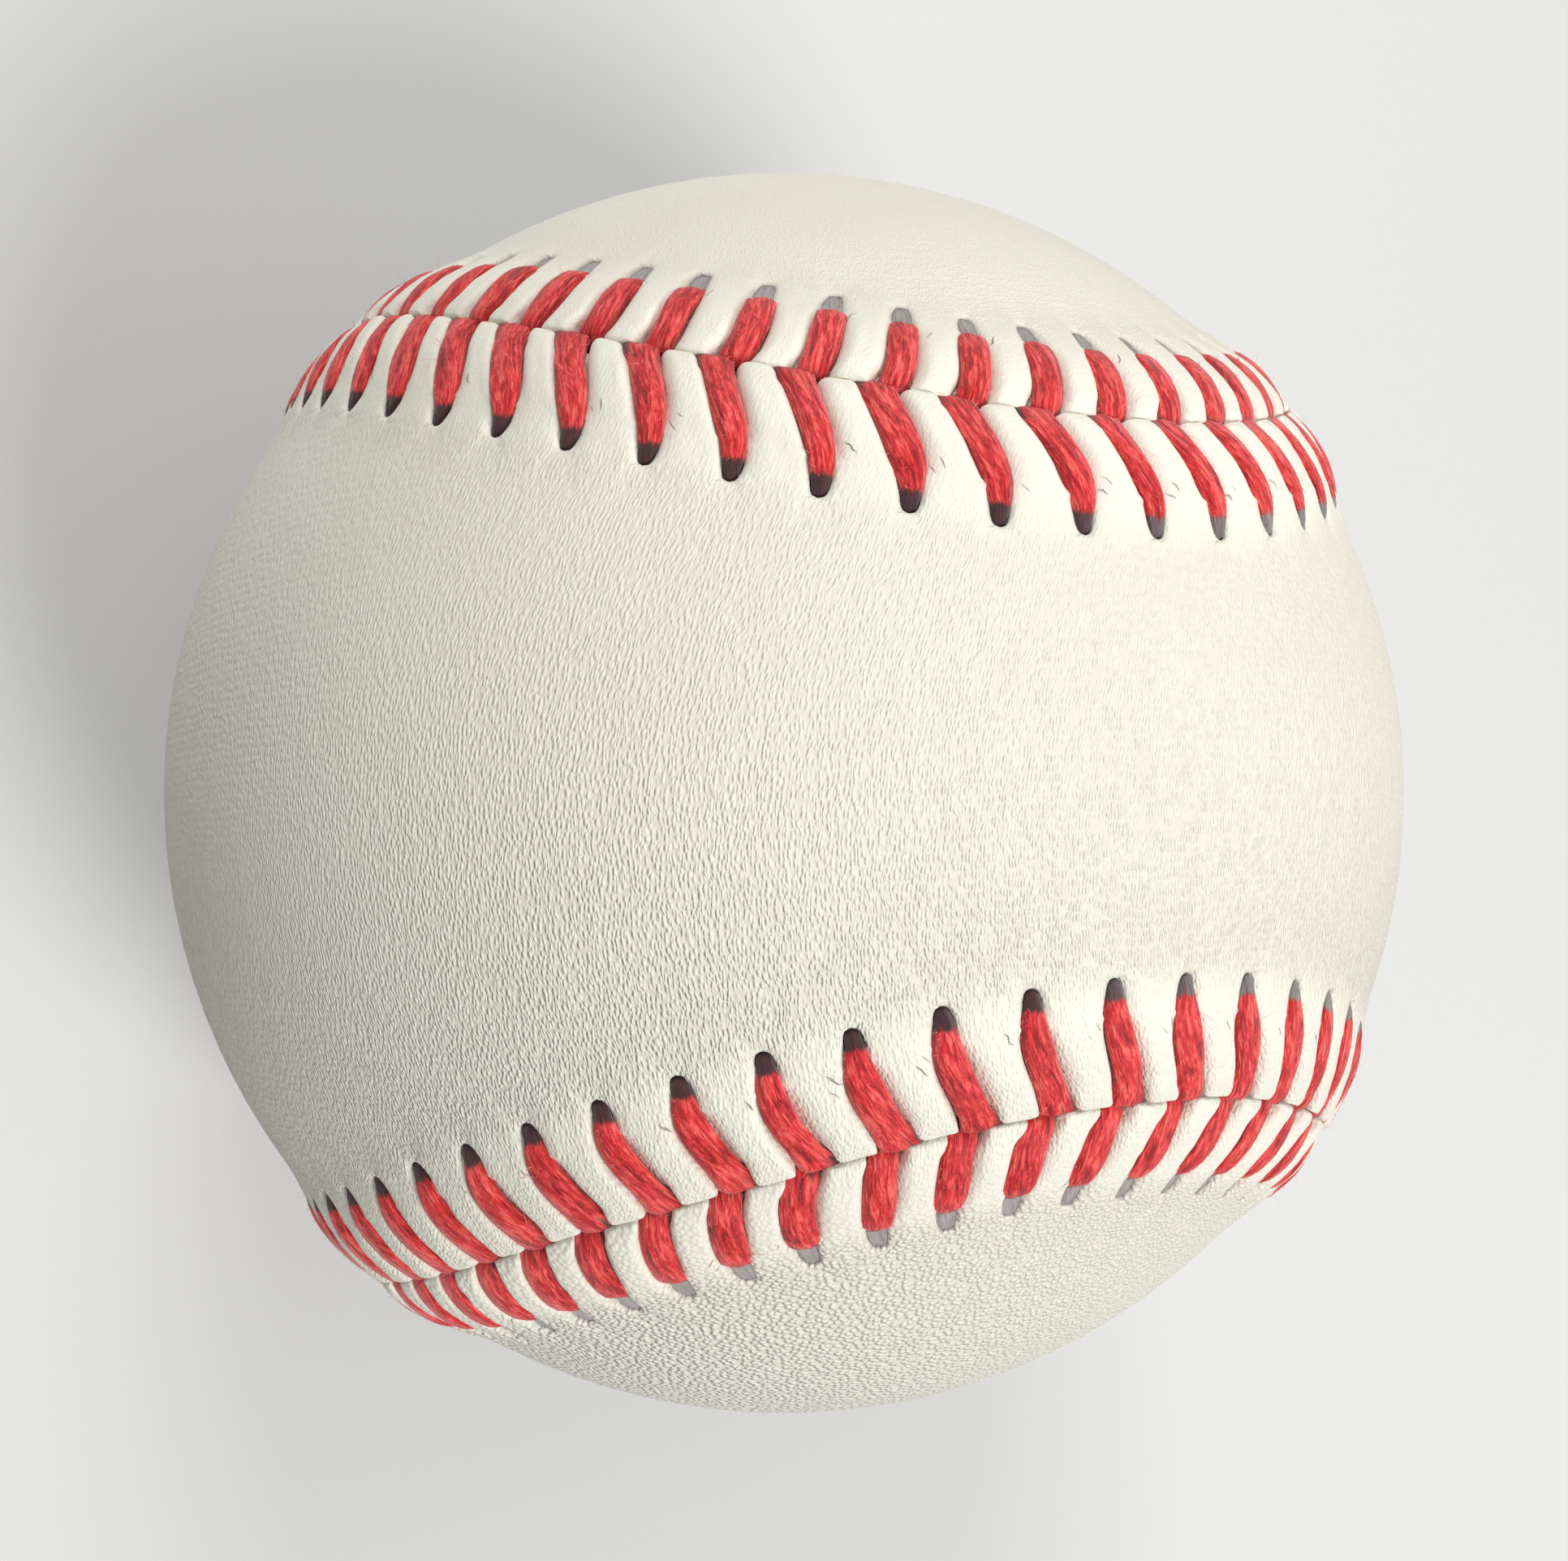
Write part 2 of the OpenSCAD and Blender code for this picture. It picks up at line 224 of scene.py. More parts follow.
# Where the middle of a thread lies, ahead of its hole: it leans most at the seam
def threadAhead(side, away):
    lead = ballPlan["crossLead"] + side * ballPlan["threadSplit"] / 2
    reach = stitchPlan["leadReach"]
    pull = stitchPlan["seamPull"] * np.clip(1 - away / stitchPlan["pullReach"], 0, 1) ** 2
    return lead * np.clip((reach - away) / reach, 0, 1) ** stitchPlan["leadPower"] - side * pull


def armAhead(stitch, side, away):
    sway = np.sin(np.pi * np.clip(away / stitchPlan["leanReach"], 0, 1))
    return threadAhead(side, away) + armLean[side][stitch] * sway


# Leather covers, each one sheet with a raised border of pillows between its stitches
coverPlan = {
    # sizes in millimetres; where two are given, 1 is the upper cover and -1 the lower one
    "foot": 8.2,
    "borderMiddle": 2.5,
    "holeHalf": {1: 0.47, -1: 0.56},
    "holeDepth": {1: 0.5, -1: 0.45},
    "holeEndDepth": {1: 0.45, -1: 0.4},
    "holeTaper": {1: 0.2, -1: 0.15},
    "taperSpan": 1.4,
    "nearRimBow": 0.1,
    "farRimBow": 0.04,
    "rimBend": 14,
    "rimSink": 0.07,
    # the notch for the threads and the rounded corners of the pillows beside it
    "notchHalf": 0.8,
    "notchShift": 0.25,
    "notchDepth": 0.55,
    "trailingRound": {1: 0.6, -1: 0.2},
    "leadingRound": {1: (0.08, 0.5), -1: (0.14, 0.2)},
    "edgeBow": 0.035,
    "edgeRound": 0.1,
    "edgeDrop": 0.14,
    # the tunnel for the threads, inside the cover
    "tunnel": 0.7,
    "tunnelEdge": 0.63,
    "tunnelMiddle": 2.4,
    "tunnelHalf": 0.8,
    "footHalf": 0.9,
    "farTunnelShare": 0.6,
    "holeUnderShare": 0.8,
    "wallLip": 0.15,
    "firstAhead": -0.9,
    "columnsBetween": 13,
    # how steep the sides of the pillows are, and the way in which sewing and wear pushed them; that way
    # also faces the light and sets the side where the red stain is painted thicker as painted light
    "steepness": 5.0,
    "steepChange": 2.0,
    "cornerSteepness": 9.0,
    "cornerReach": 1.2,
    "rubAndLitWay": (0.0, 0.9, 0.45),
    "rubContrast": 1.3,
    # what makes one pillow unlike the next
    "fingerVariation": 0.09,
    "fingerLean": 0.1,
    "leanReach": 5.0,
    "leanFade": 4.0,
    "leanStart": 0.8,
    "followReach": 4.4,
    "followFade": 0.8,
    # wrinkles and slow waves: how high, how many round the seam, and how long on the way from it
    "wrinkles": [(0.035, 420, 0.75), (0.021, 900, 0.5), (0.04, 110, 2.5)],
    "wrinkleFade": 4.0,
    "seed": 7,
    # how far the smoother grain and the red of the threads reach
    "calmReach": {1: 7.2, -1: 6.0},
    "calmFade": 2.4,
    "stainReach": 5.2,
    "stainFade": 1.2,
    "stainWidth": 0.22,
    "stainEven": 0.6,
    # painted light: how much more red stain lies on the side of each thread that faces the light
    "stainOnLitSide": 0.4,
    "edgeStain": 0.3,
    # below zero this picks the tone of the hole walls: painted shade on the upper cover, the pale cut edge
    # on the lower
    "wallShadeLevel": {1: -1.0, -1: -0.6},
    # distance from the seam, then how high the pillows and the valleys between them stand, and half
    # of the width of a thread's zone
    "ridge": [(0, 0.76), (0.4, 0.87), (1.0, 0.95), (1.7, 0.96), (2.5, 0.91), (3.4, 0.78), (4.3, 0.6),
              (5.2, 0.42), (6.1, 0.25), (7.1, 0.08), (8.2, 0)],
    "valley": [(0, 0.1), (0.8, 0.16), (2.5, 0.2), (3.8, 0.22), (4.3, 0.24), (5.2, 0.2), (6.1, 0.12),
               (7.1, 0.04), (8.2, 0)],
    "zoneHalf": [(0, 0.82), (1.0, 0.76), (1.4, 0.72), (3.0, 0.7), (3.8, 0.64), (4.1, 0.56), (4.3, 0.5),
                 (6.1, 0.5), (6.3, 0.52), (6.7, 0.62), (7.3, 0.78), (8.2, 0.9)],
}
edgeSteps = [0, 0.05, 0.13, 0.3, 0.6]
borderRows = [1.0, 1.3, 1.65, 2.05, 2.5, 2.95, 3.4, 3.8, 4.08]
holeRows = [4.3, 4.5, 4.8, 5.2, 5.58, 5.84, 6.01, 6.1]
holeRowWidths = [0.8, 1, 1, 0.96, 0.88, 0.74, 0.54, 0.3]
footRows = [6.3, 6.6, 7.0, 7.5, 8.2]
inwardShares = [0.06, 0.12, 0.19, 0.27, 0.35, 0.44, 0.53, 0.62, 0.71, 0.8, 0.88, 0.96]
underShares = [0.12, 0.35, 0.6, 0.85]


# A point on the line down the middle of a cover
def spinePoint(stitchNumber, side):
    around = np.radians((stitchNumber + ballPlan["phaseShare"]) / ballPlan["stitches"] * 360)
    angle = np.radians(ballPlan["spineReach"] * (np.sin(around) if side > 0 else np.cos(around)))
    zero = np.zeros_like(angle)
    if side > 0:
        return np.stack([zero, np.sin(angle), np.cos(angle)], axis=-1)
    return np.stack([np.sin(angle), zero, -np.cos(angle)], axis=-1)


def buildCover(name, side):
    plan, n = coverPlan, ballPlan["stitches"]
    rng = np.random.default_rng(plan["seed"] + side)
    fingerSize = 1 + plan["fingerVariation"] * rng.uniform(-1, 1, n)
    fingerLean = plan["fingerLean"] * rng.uniform(-1, 1, n)
    # each stitch has five columns of points across the zone of its thread, and the rest over a pillow
    zoneShares = np.array([-1, -0.5, 0, 0.5, 1.0])
    zoneColumns = len(zoneShares)
    gapShares = np.arange(1, plan["columnsBetween"] + 1) / (plan["columnsBetween"] + 1)
    perStitch = zoneColumns + len(gapShares)
    k = np.repeat(np.arange(n), perStitch)
    column = np.tile(np.arange(perStitch), n)
    inZone = column < zoneColumns
    t = np.where(inZone, zoneShares[np.minimum(column, zoneColumns - 1)], 0)
    g = np.where(inZone, 0, gapShares[np.maximum(column - zoneColumns, 0)])
    points, masks, stainsAndWallShades, places = [], [], [], []

    # the sewing and later rubbing went one way over the ball, so a pillow is steeper on that side; that way
    # also faces the light, and the red stain lies thicker on that side as painted light
    middle = np.full(len(k), plan["borderMiddle"])
    aheadWay = unit(spot(k, side, middle, middle) - spot(k, side, middle, 0.0))
    rubbedAndLitSide = np.clip(aheadWay @ unit(np.array(plan["rubAndLitWay"])) * plan["rubContrast"], -1, 1)

    def fingerShape(away):
        reach = np.abs(2 * g - 1)
        steep = plan["steepness"] + plan["steepChange"] * rubbedAndLitSide * np.sign(g - 0.5)
        corner = plan["cornerSteepness"] * smoothStep(plan["cornerReach"] - away)
        steep = steep + corner * smoothStep(0.5 + rubbedAndLitSide)
        return np.where(inZone, 0, 1 - reach ** steep)

    def surfaceRow(kind, value):
        if kind == "edge":
            gap = pitch - 2 * plan["notchHalf"]
            sharp, blunt = plan["leadingRound"][side]
            leadingRound = blunt + (sharp - blunt) * smoothStep(0.5 + rubbedAndLitSide)
            corner = np.minimum(quarterRound(g * gap / plan["trailingRound"][side]),
                                quarterRound((1 - g) * gap / leadingRound))
            bowed = plan["edgeBow"] + plan["notchDepth"] * (1 - corner)
            scallop = np.where(inZone, plan["notchDepth"], bowed)
            away = scallop + (1.0 - scallop) * value
        else:
            away = np.full(len(k), float(value))
            scallop = np.zeros(len(k))
            bend = plan["rimBend"]
            rounding = np.where(inZone, t ** 2, np.exp(-g * bend) + np.exp(-(1 - g) * bend))
            if value == holeRows[0]:
                away = away + plan["nearRimBow"] * rounding
            if value == holeRows[-1]:
                away = away - plan["farRimBow"] * rounding

        def zoneOf(stitch):
            if kind == "edge":
                blend = smoothStep(away)
                notch = ballPlan["crossLead"] + side * plan["notchShift"]
                return notch * (1 - blend) + armAhead(stitch, side, away) * blend, plan["notchHalf"]
            if value in holeRows:
                return 0.0, plan["holeHalf"][side] * holeRowWidths[holeRows.index(value)]
            follow = smoothStep((plan["followReach"] - away) / plan["followFade"])
            follow = 1 + armWidth[side][stitch] * follow
            return armAhead(stitch, side, away), curveThrough(away, plan["zoneHalf"]) * follow

        centre, half = zoneOf(k)
        nextCentre, nextHalf = zoneOf((k + 1) % n)
        gap = pitch + nextCentre - nextHalf - centre - half
        ahead = np.where(inZone, centre + t * half, centre + half + g * gap)
        ridge = curveThrough(away, plan["ridge"]) * fingerSize[k]
        valley = curveThrough(away, plan["valley"])
        finger = fingerShape(away)
        height = valley + (ridge - valley) * finger
        leaning = smoothStep((plan["leanReach"] - away) / plan["leanFade"])
        ahead = ahead + fingerLean[k] * finger * leaning * smoothStep(away / plan["leanStart"])
        fromEdge = away - scallop if kind == "edge" else away
        height = height - plan["edgeDrop"] * (1 - quarterRound(fromEdge / plan["edgeRound"]))
        if kind != "edge" and value in holeRows:
            rim = inZone if value in (holeRows[0], holeRows[-1]) else np.abs(t) == 1
            height = height - np.where(rim, plan["rimSink"], 0)
        # the wrinkles and waves fade out towards the foot
        along = (k + ahead / pitch) / n
        fade = smoothStep((plan["foot"] - away) / plan["wrinkleFade"])
        for i, (high, around, long) in enumerate(plan["wrinkles"]):
            wrinkle = softNoise(along * around, away / long, around, plan["seed"] + i)
            height = height + fade * high * wrinkle
        mask = smoothStep((plan["calmReach"][side] - away) / plan["calmFade"])
        # red stain from the threads, partly real and partly painted light: more of it lies on the side of
        # each thread that faces the light
        nearThread = np.where(inZone, 1, np.exp(-np.minimum(g, 1 - g) * gap / plan["stainWidth"]))
        stain = nearThread * smoothStep((plan["stainReach"] - away) / plan["stainFade"])
        stain = stain * (plan["stainEven"] - plan["stainOnLitSide"] * rubbedAndLitSide * np.sign(g - 0.5))
        turn = ahead / pitch * 2 * np.pi
        stitchPlace = np.stack([np.cos(turn), np.sin(turn), away], axis=-1)
        return spot(k, side, away, ahead) * (ballPlan["radius"] + height)[:, None], mask, stain, stitchPlace

    farPlace = (1.0, 0.0, 20.0)  # the stitch place of points with no stitch near them

    def addRow(row, mask=0.0, stain=0.0, place=farPlace):
        start = sum(len(p) for p in points)
        points.append(row)
        masks.append(np.broadcast_to(mask, len(row)))
        stainsAndWallShades.append(np.broadcast_to(stain, len(row)))
        places.append(np.broadcast_to(place, (len(row), 3)))
        return start

    rows = [addRow(*surfaceRow("edge", s)) for s in edgeSteps]
    rows += [addRow(*surfaceRow("row", a)) for a in borderRows]
    holeStart = len(rows)
    rows += [addRow(*surfaceRow("row", a)) for a in holeRows]
    rows += [addRow(*surfaceRow("row", a)) for a in footRows]
    count = n * perStitch
    faces = []
    for i in range(len(rows) - 1):
        inHoles = holeStart <= i < holeStart + len(holeRows) - 1
        a, b = rows[i], rows[i + 1]
        for c in range(count):
            if inHoles and c % perStitch < zoneColumns - 1:
                continue
            d = (c + 1) % count
            faces.append((a + c, b + c, b + d, a + d))

    def inward(perPitch, share, radius):
        c = np.arange(n * perPitch)
        ahead = plan["firstAhead"] + (c % perPitch) * pitch / perPitch
        base = spot(c // perPitch, side, np.full(len(c), plan["foot"]), ahead)
        spine = spinePoint(c / perPitch + plan["firstAhead"] / pitch, side)
        return radius * unit(base * (1 - share) + spine * share)

    # the two halves of the innermost ring lie along the spine, and this strip joins them
    def middleStrip(start):
        total = n * 2 - 1 if side < 0 else n - 1
        first = n // 2 if side > 0 else 0
        strip = []
        for i in range(n - 1):
            p, q = first + i, first + i + 1
            strip.append(tuple(start + place % (2 * n) for place in (p, total - p, total - q, q)))
        return strip

    last = list(range(rows[-1], rows[-1] + count))
    for i, share in enumerate(inwardShares):
        perPitch = 6 if i == 0 else 2
        start = addRow(inward(perPitch, share, ballPlan["radius"]))
        ring = list(range(start, start + n * perPitch))
        faces += closedBridge(last, ring)
        last = ring
    faces += middleStrip(last[0])

    # the inside: edge wall, tunnel, foot and middle, with six columns a stitch
    inner, tunnel = ballPlan["innerRadius"], plan["tunnel"]
    edgeRadius = np.linalg.norm(points[0], axis=1)
    wallTop = points[0] * ((inner + tunnel + plan["wallLip"]) / edgeRadius)[:, None]
    wallRow = addRow(wallTop, 1.0, plan["edgeStain"])
    insideFaces = []
    for c in range(count):
        d = (c + 1) % count
        insideFaces.append((rows[0] + d, wallRow + d, wallRow + c, rows[0] + c))
    columns = 6
    underCount = columns * n
    underStitch = np.repeat(np.arange(n), columns)
    underColumn = np.tile(np.arange(columns), n)

    def underRow(away, half, centre, radius):
        gap = pitch - 2 * half
        overPillow = centre + half + (underColumn - 1) / (columns - 1) * gap
        ahead = np.where(underColumn == 0, centre - half, overPillow)
        return addRow(radius * spot(underStitch, side, np.full(underCount, float(away)), ahead), 1.0)

    notchAhead = ballPlan["crossLead"] + side * plan["notchShift"]
    tunnelMiddle = plan["tunnelMiddle"]
    holeUnder = plan["holeHalf"][side] * plan["holeUnderShare"]
    under = [
        underRow(plan["tunnelEdge"], plan["notchHalf"], notchAhead, inner + tunnel),
        underRow(tunnelMiddle, plan["tunnelHalf"], threadAhead(side, tunnelMiddle), inner + tunnel),
        underRow(holeRows[0], holeUnder, 0, inner + tunnel),
        underRow(holeRows[-1], holeUnder, 0, inner + tunnel * plan["farTunnelShare"]),
        underRow(plan["foot"], plan["footHalf"], 0, inner),
    ]
    rings = [list(range(s, s + underCount)) for s in under]
    nearHole, farHole = rings[2], rings[3]
    insideFaces += flipped(closedBridge(list(range(wallRow, wallRow + count)), rings[0]))
    for ring, nextRing in zip(rings, rings[1:]):
        for c in range(underCount):
            if ring is nearHole and c % columns == 0:
                continue
            d = (c + 1) % underCount
            insideFaces.append((ring[d], nextRing[d], nextRing[c], ring[c]))
    last = rings[-1]
    for share in underShares:
        start = addRow(inward(2, share, inner))
        ring = list(range(start, start + 2 * n))
        insideFaces += flipped(closedBridge(last, ring))
        last = ring
    insideFaces += flipped(middleStrip(last[0]))

    # hole walls: round each rim run its near end, one side, its far end and the other side
    rimRows = rows[holeStart:holeStart + len(holeRows)]
    lastRim, lastZone = len(holeRows) - 1, zoneColumns - 1
    rimOrder = [(0, c) for c in range(lastZone)]
    rimOrder += [(r, lastZone) for r in range(lastRim)]
    rimOrder += [(lastRim, c) for c in range(lastZone, 0, -1)]
    rimOrder += [(r, 0) for r in range(lastRim, 0, -1)]
    rimCount = len(rimOrder)
    rimCorners = (0, lastZone, lastZone + lastRim, 2 * lastZone + lastRim, rimCount)
    allPoints = np.concatenate(points)
    wallPoints = []
    wallStart = len(allPoints)
    for s in range(n):
        rim = [rimRows[r] + s * perStitch + c for r, c in rimOrder]
        mid = [wallStart + s * rimCount + i for i in range(rimCount)]
        # the two ends of each hole slope inwards as they go down
        ends = spot(s, side, np.array([holeRows[0], holeRows[-1]]), np.zeros(2))
        lengthWay, holeCentre = unit(ends[1] - ends[0]), unit(ends.sum(axis=0))
        for v in rim:
            p = allPoints[v]
            endward = (unit(p) - holeCentre) @ lengthWay * ballPlan["radius"]
            endward = smoothStep(0.5 + endward / plan["taperSpan"])
            depth = plan["holeDepth"][side] * (1 - endward) + plan["holeEndDepth"][side] * endward
            down = p * (1 - depth / np.linalg.norm(p))
            inwards = (holeCentre * np.linalg.norm(down) - down) @ lengthWay
            wallPoints.append(down + lengthWay * inwards * plan["holeTaper"][side])
        for i in range(rimCount):
            j = (i + 1) % rimCount
            insideFaces.append((rim[j], rim[i], mid[i], mid[j]))
        c = columns * s
        corners = [nearHole[c], nearHole[c + 1], farHole[c + 1], farHole[c]]
        for i, (first, final) in enumerate(zip(rimCorners, rimCorners[1:])):
            line = [mid[v % rimCount] for v in range(first, final + 1)]
            insideFaces += flipped(bridge([corners[i], corners[(i + 1) % 4]], line))
    # the walls' value picks painted shade for the upper cover's hole walls and the pale cut edge for the
    # lower's
    addRow(np.array(wallPoints), 1.0, plan["wallShadeLevel"][side])

    allPoints = np.concatenate(points)
    return newPiece(name, allPoints, faces + insideFaces, {
        "borderMask": np.concatenate(masks),
        "stainAndWallShade": np.concatenate(stainsAndWallShades),
        "lowerCover": np.full(len(allPoints), float(side < 0)),
        "stitchPlace": np.concatenate(places),
    })


# Joins doubles, turns the faces outwards and smooths the piece
def finishShell(piece, sharpAngle):
    bpy.ops.object.select_all(action="DESELECT")
    piece.select_set(True)
    bpy.context.view_layer.objects.active = piece
    bpy.ops.object.mode_set(mode="EDIT")
    bpy.ops.mesh.select_all(action="SELECT")
    bpy.ops.mesh.remove_doubles(threshold=1e-7)
    bpy.ops.mesh.normals_make_consistent(inside=False)
    bpy.ops.object.mode_set(mode="OBJECT")
    bpy.ops.object.shade_smooth_by_angle(angle=math.radians(sharpAngle))
    piece.select_set(False)


coverUpper = buildCover("leatherCoverUpper", 1)
coverLower = buildCover("leatherCoverLower", -1)
for cover in (coverUpper, coverLower):
    finishShell(cover, 62)
print("leather covers shaped:", len(coverUpper.data.polygons), "faces each")


# Lacing threads, each one unbroken tube: up out of a hole, over the border, down between the
# covers and on under the other cover to its next hole
threadPlan = {
    # the section: a rounded bar with shallow lobes that turn along the thread
    "sides": 24,
    "lobes": 6,
    "lobeDepth": 0.05,
    "twist": 0.16,
    "flatPower": 0.9,
    "tallPower": 0.85,
    "fibreRadius": 0.55,
    # where the thread spreads out along the seam, and its point in the corner of the next pillow
    "spreadReach": 1.5,
    "spreadFade": 1.3,
    "leadingPoint": 0.36,
    "pointReach": 1.1,
    "pointShade": 2.0,
    "underReach": 5.0,
    "levelEnds": (-4.6, 4.5),  # past these distances the thread keeps its direction
    "wayStep": 0.15,
    # loose hairs for each stitch
    "hairs": 50,
    "hairRadius": 0.011,
    "hairRoot": 0.9,
    "shortHairShare": 0.93,
    "shortHair": (0.12, 0.42),
    "longHair": (0.5, 1.3),
    "seed": 21,
    "extraRings": (2, 12),  # the knots of the visible arm
    # distance from the seam, height over the leather, width, thickness and darkness, which is painted shade
    # where the thread sinks into a hole or between the covers (two is the pale fill of a lower hole); a
    # distance below zero lies under the other cover
    "knots": {
        1: [(5.5, -0.95, 0.8, 0.5, 1), (5.8, -0.45, 0.7, 0.6, 1), (5.62, -0.08, 0.76, 0.66, 1),
            (5.2, 0.12, 0.92, 0.7, 0.8), (4.82, 0.26, 1.1, 0.72, 0), (4.15, 0.43, 1.4, 0.76, 0),
            (3.3, 0.56, 1.55, 0.78, 0), (2.4, 0.6, 1.55, 0.8, 0), (1.65, 0.58, 1.53, 0.8, 0),
            (1.0, 0.52, 1.54, 0.76, 0), (0.45, 0.45, 1.58, 0.72, 0), (0.05, 0.3, 1.6, 0.66, 0.2),
            (-0.14, -0.15, 1.4, 0.55, 1), (-0.4, -0.78, 1.05, 0.5, 1), (-2.6, -0.95, 1.0, 0.5, 1),
            (-4.3, -0.95, 0.95, 0.5, 1)],
        -1: [(5.7, -0.95, 0.85, 0.5, 2), (6.02, -0.5, 0.8, 0.5, 2), (5.82, -0.14, 0.92, 0.4, 2),
             (4.85, -0.06, 1.16, 0.4, 2), (4.42, 0.1, 1.4, 0.6, 0), (4.1, 0.3, 1.52, 0.7, 0),
             (3.5, 0.48, 1.58, 0.76, 0), (2.6, 0.6, 1.6, 0.8, 0), (1.65, 0.57, 1.55, 0.8, 0),
             (1.0, 0.49, 1.5, 0.76, 0), (0.5, 0.38, 1.46, 0.7, 0), (0.2, 0.12, 1.42, 0.64, 0.5),
             (0.02, -0.4, 1.3, 0.6, 1), (-0.3, -0.8, 1.05, 0.5, 1), (-2.6, -0.95, 1.0, 0.5, 1),
             (-4.3, -0.95, 0.95, 0.5, 1)],
    },
}


def buildThread(name, firstSide):
    plan, n = threadPlan, ballPlan["stitches"]
    rng = np.random.default_rng(plan["seed"] + firstSide)
    perPass = len(plan["knots"][1])
    atKnots = {"centre": [], "across": [], "width": [], "depth": [], "shade": [], "push": []}
    for k in range(n):
        side = firstSide if k % 2 == 0 else -firstSide
        turned = 1 if k % 2 == 0 else -1
        seamLead = float(threadAhead(side, 0.0))
        knots = np.array(plan["knots"][side], float)

        def onBall(away):
            away = np.asarray(away, float)
            under = seamLead + (pitch - seamLead) * np.clip(-away / plan["underReach"], 0, 1)
            over = spot(k, side, np.maximum(away, 0), armAhead(k, side, np.maximum(away, 0)))
            below = spot(k, -side, np.maximum(-away, 0), under)
            return np.where((away >= 0)[..., None], over, below)

        away = knots[:, 0]
        here = onBall(away)
        rise = armHeight[side][k] * (knots[:, 1] > 0)
        atKnots["centre"].append(here * (ballPlan["radius"] + knots[:, 1] + rise)[:, None])
        level, wayStep = np.clip(away, *plan["levelEnds"]), plan["wayStep"]
        run = unit(onBall(level - wayStep) - onBall(level + wayStep))
        square = unit(np.cross(here, run))
        # at the seam the thread is spread along the seam and not square to its own run
        besideSeam = np.full(len(away), 0.2)
        aheadWay = unit(spot(k, side, besideSeam, 1.6) - spot(k, side, besideSeam, 0.6))
        seamWay = aheadWay * np.sign((square * aheadWay).sum(axis=1, keepdims=True))
        atSeam = smoothStep((plan["spreadReach"] - np.abs(away)) / plan["spreadFade"])[:, None]
        atKnots["across"].append(turned * unit(square * (1 - atSeam) + seamWay * atSeam))
        # the arms of the upper cover run out into a point ahead, in the corner of the next pillow
        toPoint = (side > 0) * smoothStep(1 - np.abs(away) / plan["pointReach"])[:, None]
        atKnots["push"].append(plan["leadingPoint"] * toPoint * (aheadWay + 0.3 * run))
        atKnots["width"].append(knots[:, 2] * (1 + armWidth[side][k] * (knots[:, 1] > 0.3)))
        atKnots["depth"].append(knots[:, 3])
        atKnots["shade"].append(knots[:, 4])
    atKnots = {key: np.concatenate(rows)[:-1] for key, rows in atKnots.items()}

    # an extra ring between neighbouring knots along each visible arm, on a smooth curve
    atRings = {key: [] for key in atKnots}
    knotPlaces = atKnots["centre"]
    low, high = plan["extraRings"]
    for i in range(len(knotPlaces)):
        for key, values in atKnots.items():
            atRings[key].append(values[i])
        if low <= i % perPass < high and i + 2 < len(knotPlaces):
            for key, values in atKnots.items():
                atRings[key].append(values[i] * 0.5 + values[i + 1] * 0.5)
            before, here, after, later = knotPlaces[i - 1:i + 3]
            atRings["centre"][-1] = (-before + 9 * here + 9 * after - later) / 16
    centre, across, width, depth, shade, push = (np.array(rows) for rows in atRings.values())
    ahead = unit(np.gradient(centre, axis=0))
    normal = unit(np.cross(ahead, across))
    sideways = unit(np.cross(normal, ahead))
    lengths = np.concatenate([[0], np.cumsum(np.linalg.norm(np.diff(centre, axis=0), axis=1))])
    count, sides = len(centre), plan["sides"]
    angle = np.arange(sides) / sides * 2 * np.pi
    twisted = angle[None, :] + plan["twist"] * lengths[:, None]
    bulge = 1 + plan["lobeDepth"] * np.sin(plan["lobes"] * twisted + 1.5 * np.sin(lengths / 7)[:, None])
    c, s = np.cos(angle), np.sin(angle)
    flat = np.sign(c) * np.abs(c) ** plan["flatPower"]
    tall = np.sign(s) * np.abs(s) ** plan["tallPower"]
    skin = (centre[:, None, :]
            + sideways[:, None, :] * (flat[None, :] * bulge * width[:, None] / 2)[..., None]
            + normal[:, None, :] * (tall[None, :] * bulge * depth[:, None] / 2)[..., None])
    leading = np.clip(np.sign((sideways * push).sum(axis=1))[:, None] * flat[None, :], 0, 1) ** 2
    skin = skin + push[:, None, :] * leading[..., None]
    along = np.broadcast_to(lengths[:, None], twisted.shape)
    fibreRadius = plan["fibreRadius"]
    fibre = np.stack([along, fibreRadius * np.cos(twisted), fibreRadius * np.sin(twisted)], axis=-1)
    points = [skin.reshape(-1, 3)]
    fibres = [fibre.reshape(-1, 3)]
    # painted shade on the point, where it tucks into the corner of the next pillow
    pointShade = np.linalg.norm(push, axis=1)[:, None] * leading * plan["pointShade"]
    dark = [np.maximum(shade[:, None], pointShade).ravel()]
    faces = []
    for r in range(0, (count - 1) * sides, sides):
        for a in range(sides):
            b = (a + 1) % sides
            faces.append((r + a, r + b, r + sides + b, r + sides + a))
    faces.append(tuple(range(sides - 1, -1, -1)))
    faces.append(tuple((count - 1) * sides + a for a in range(sides)))

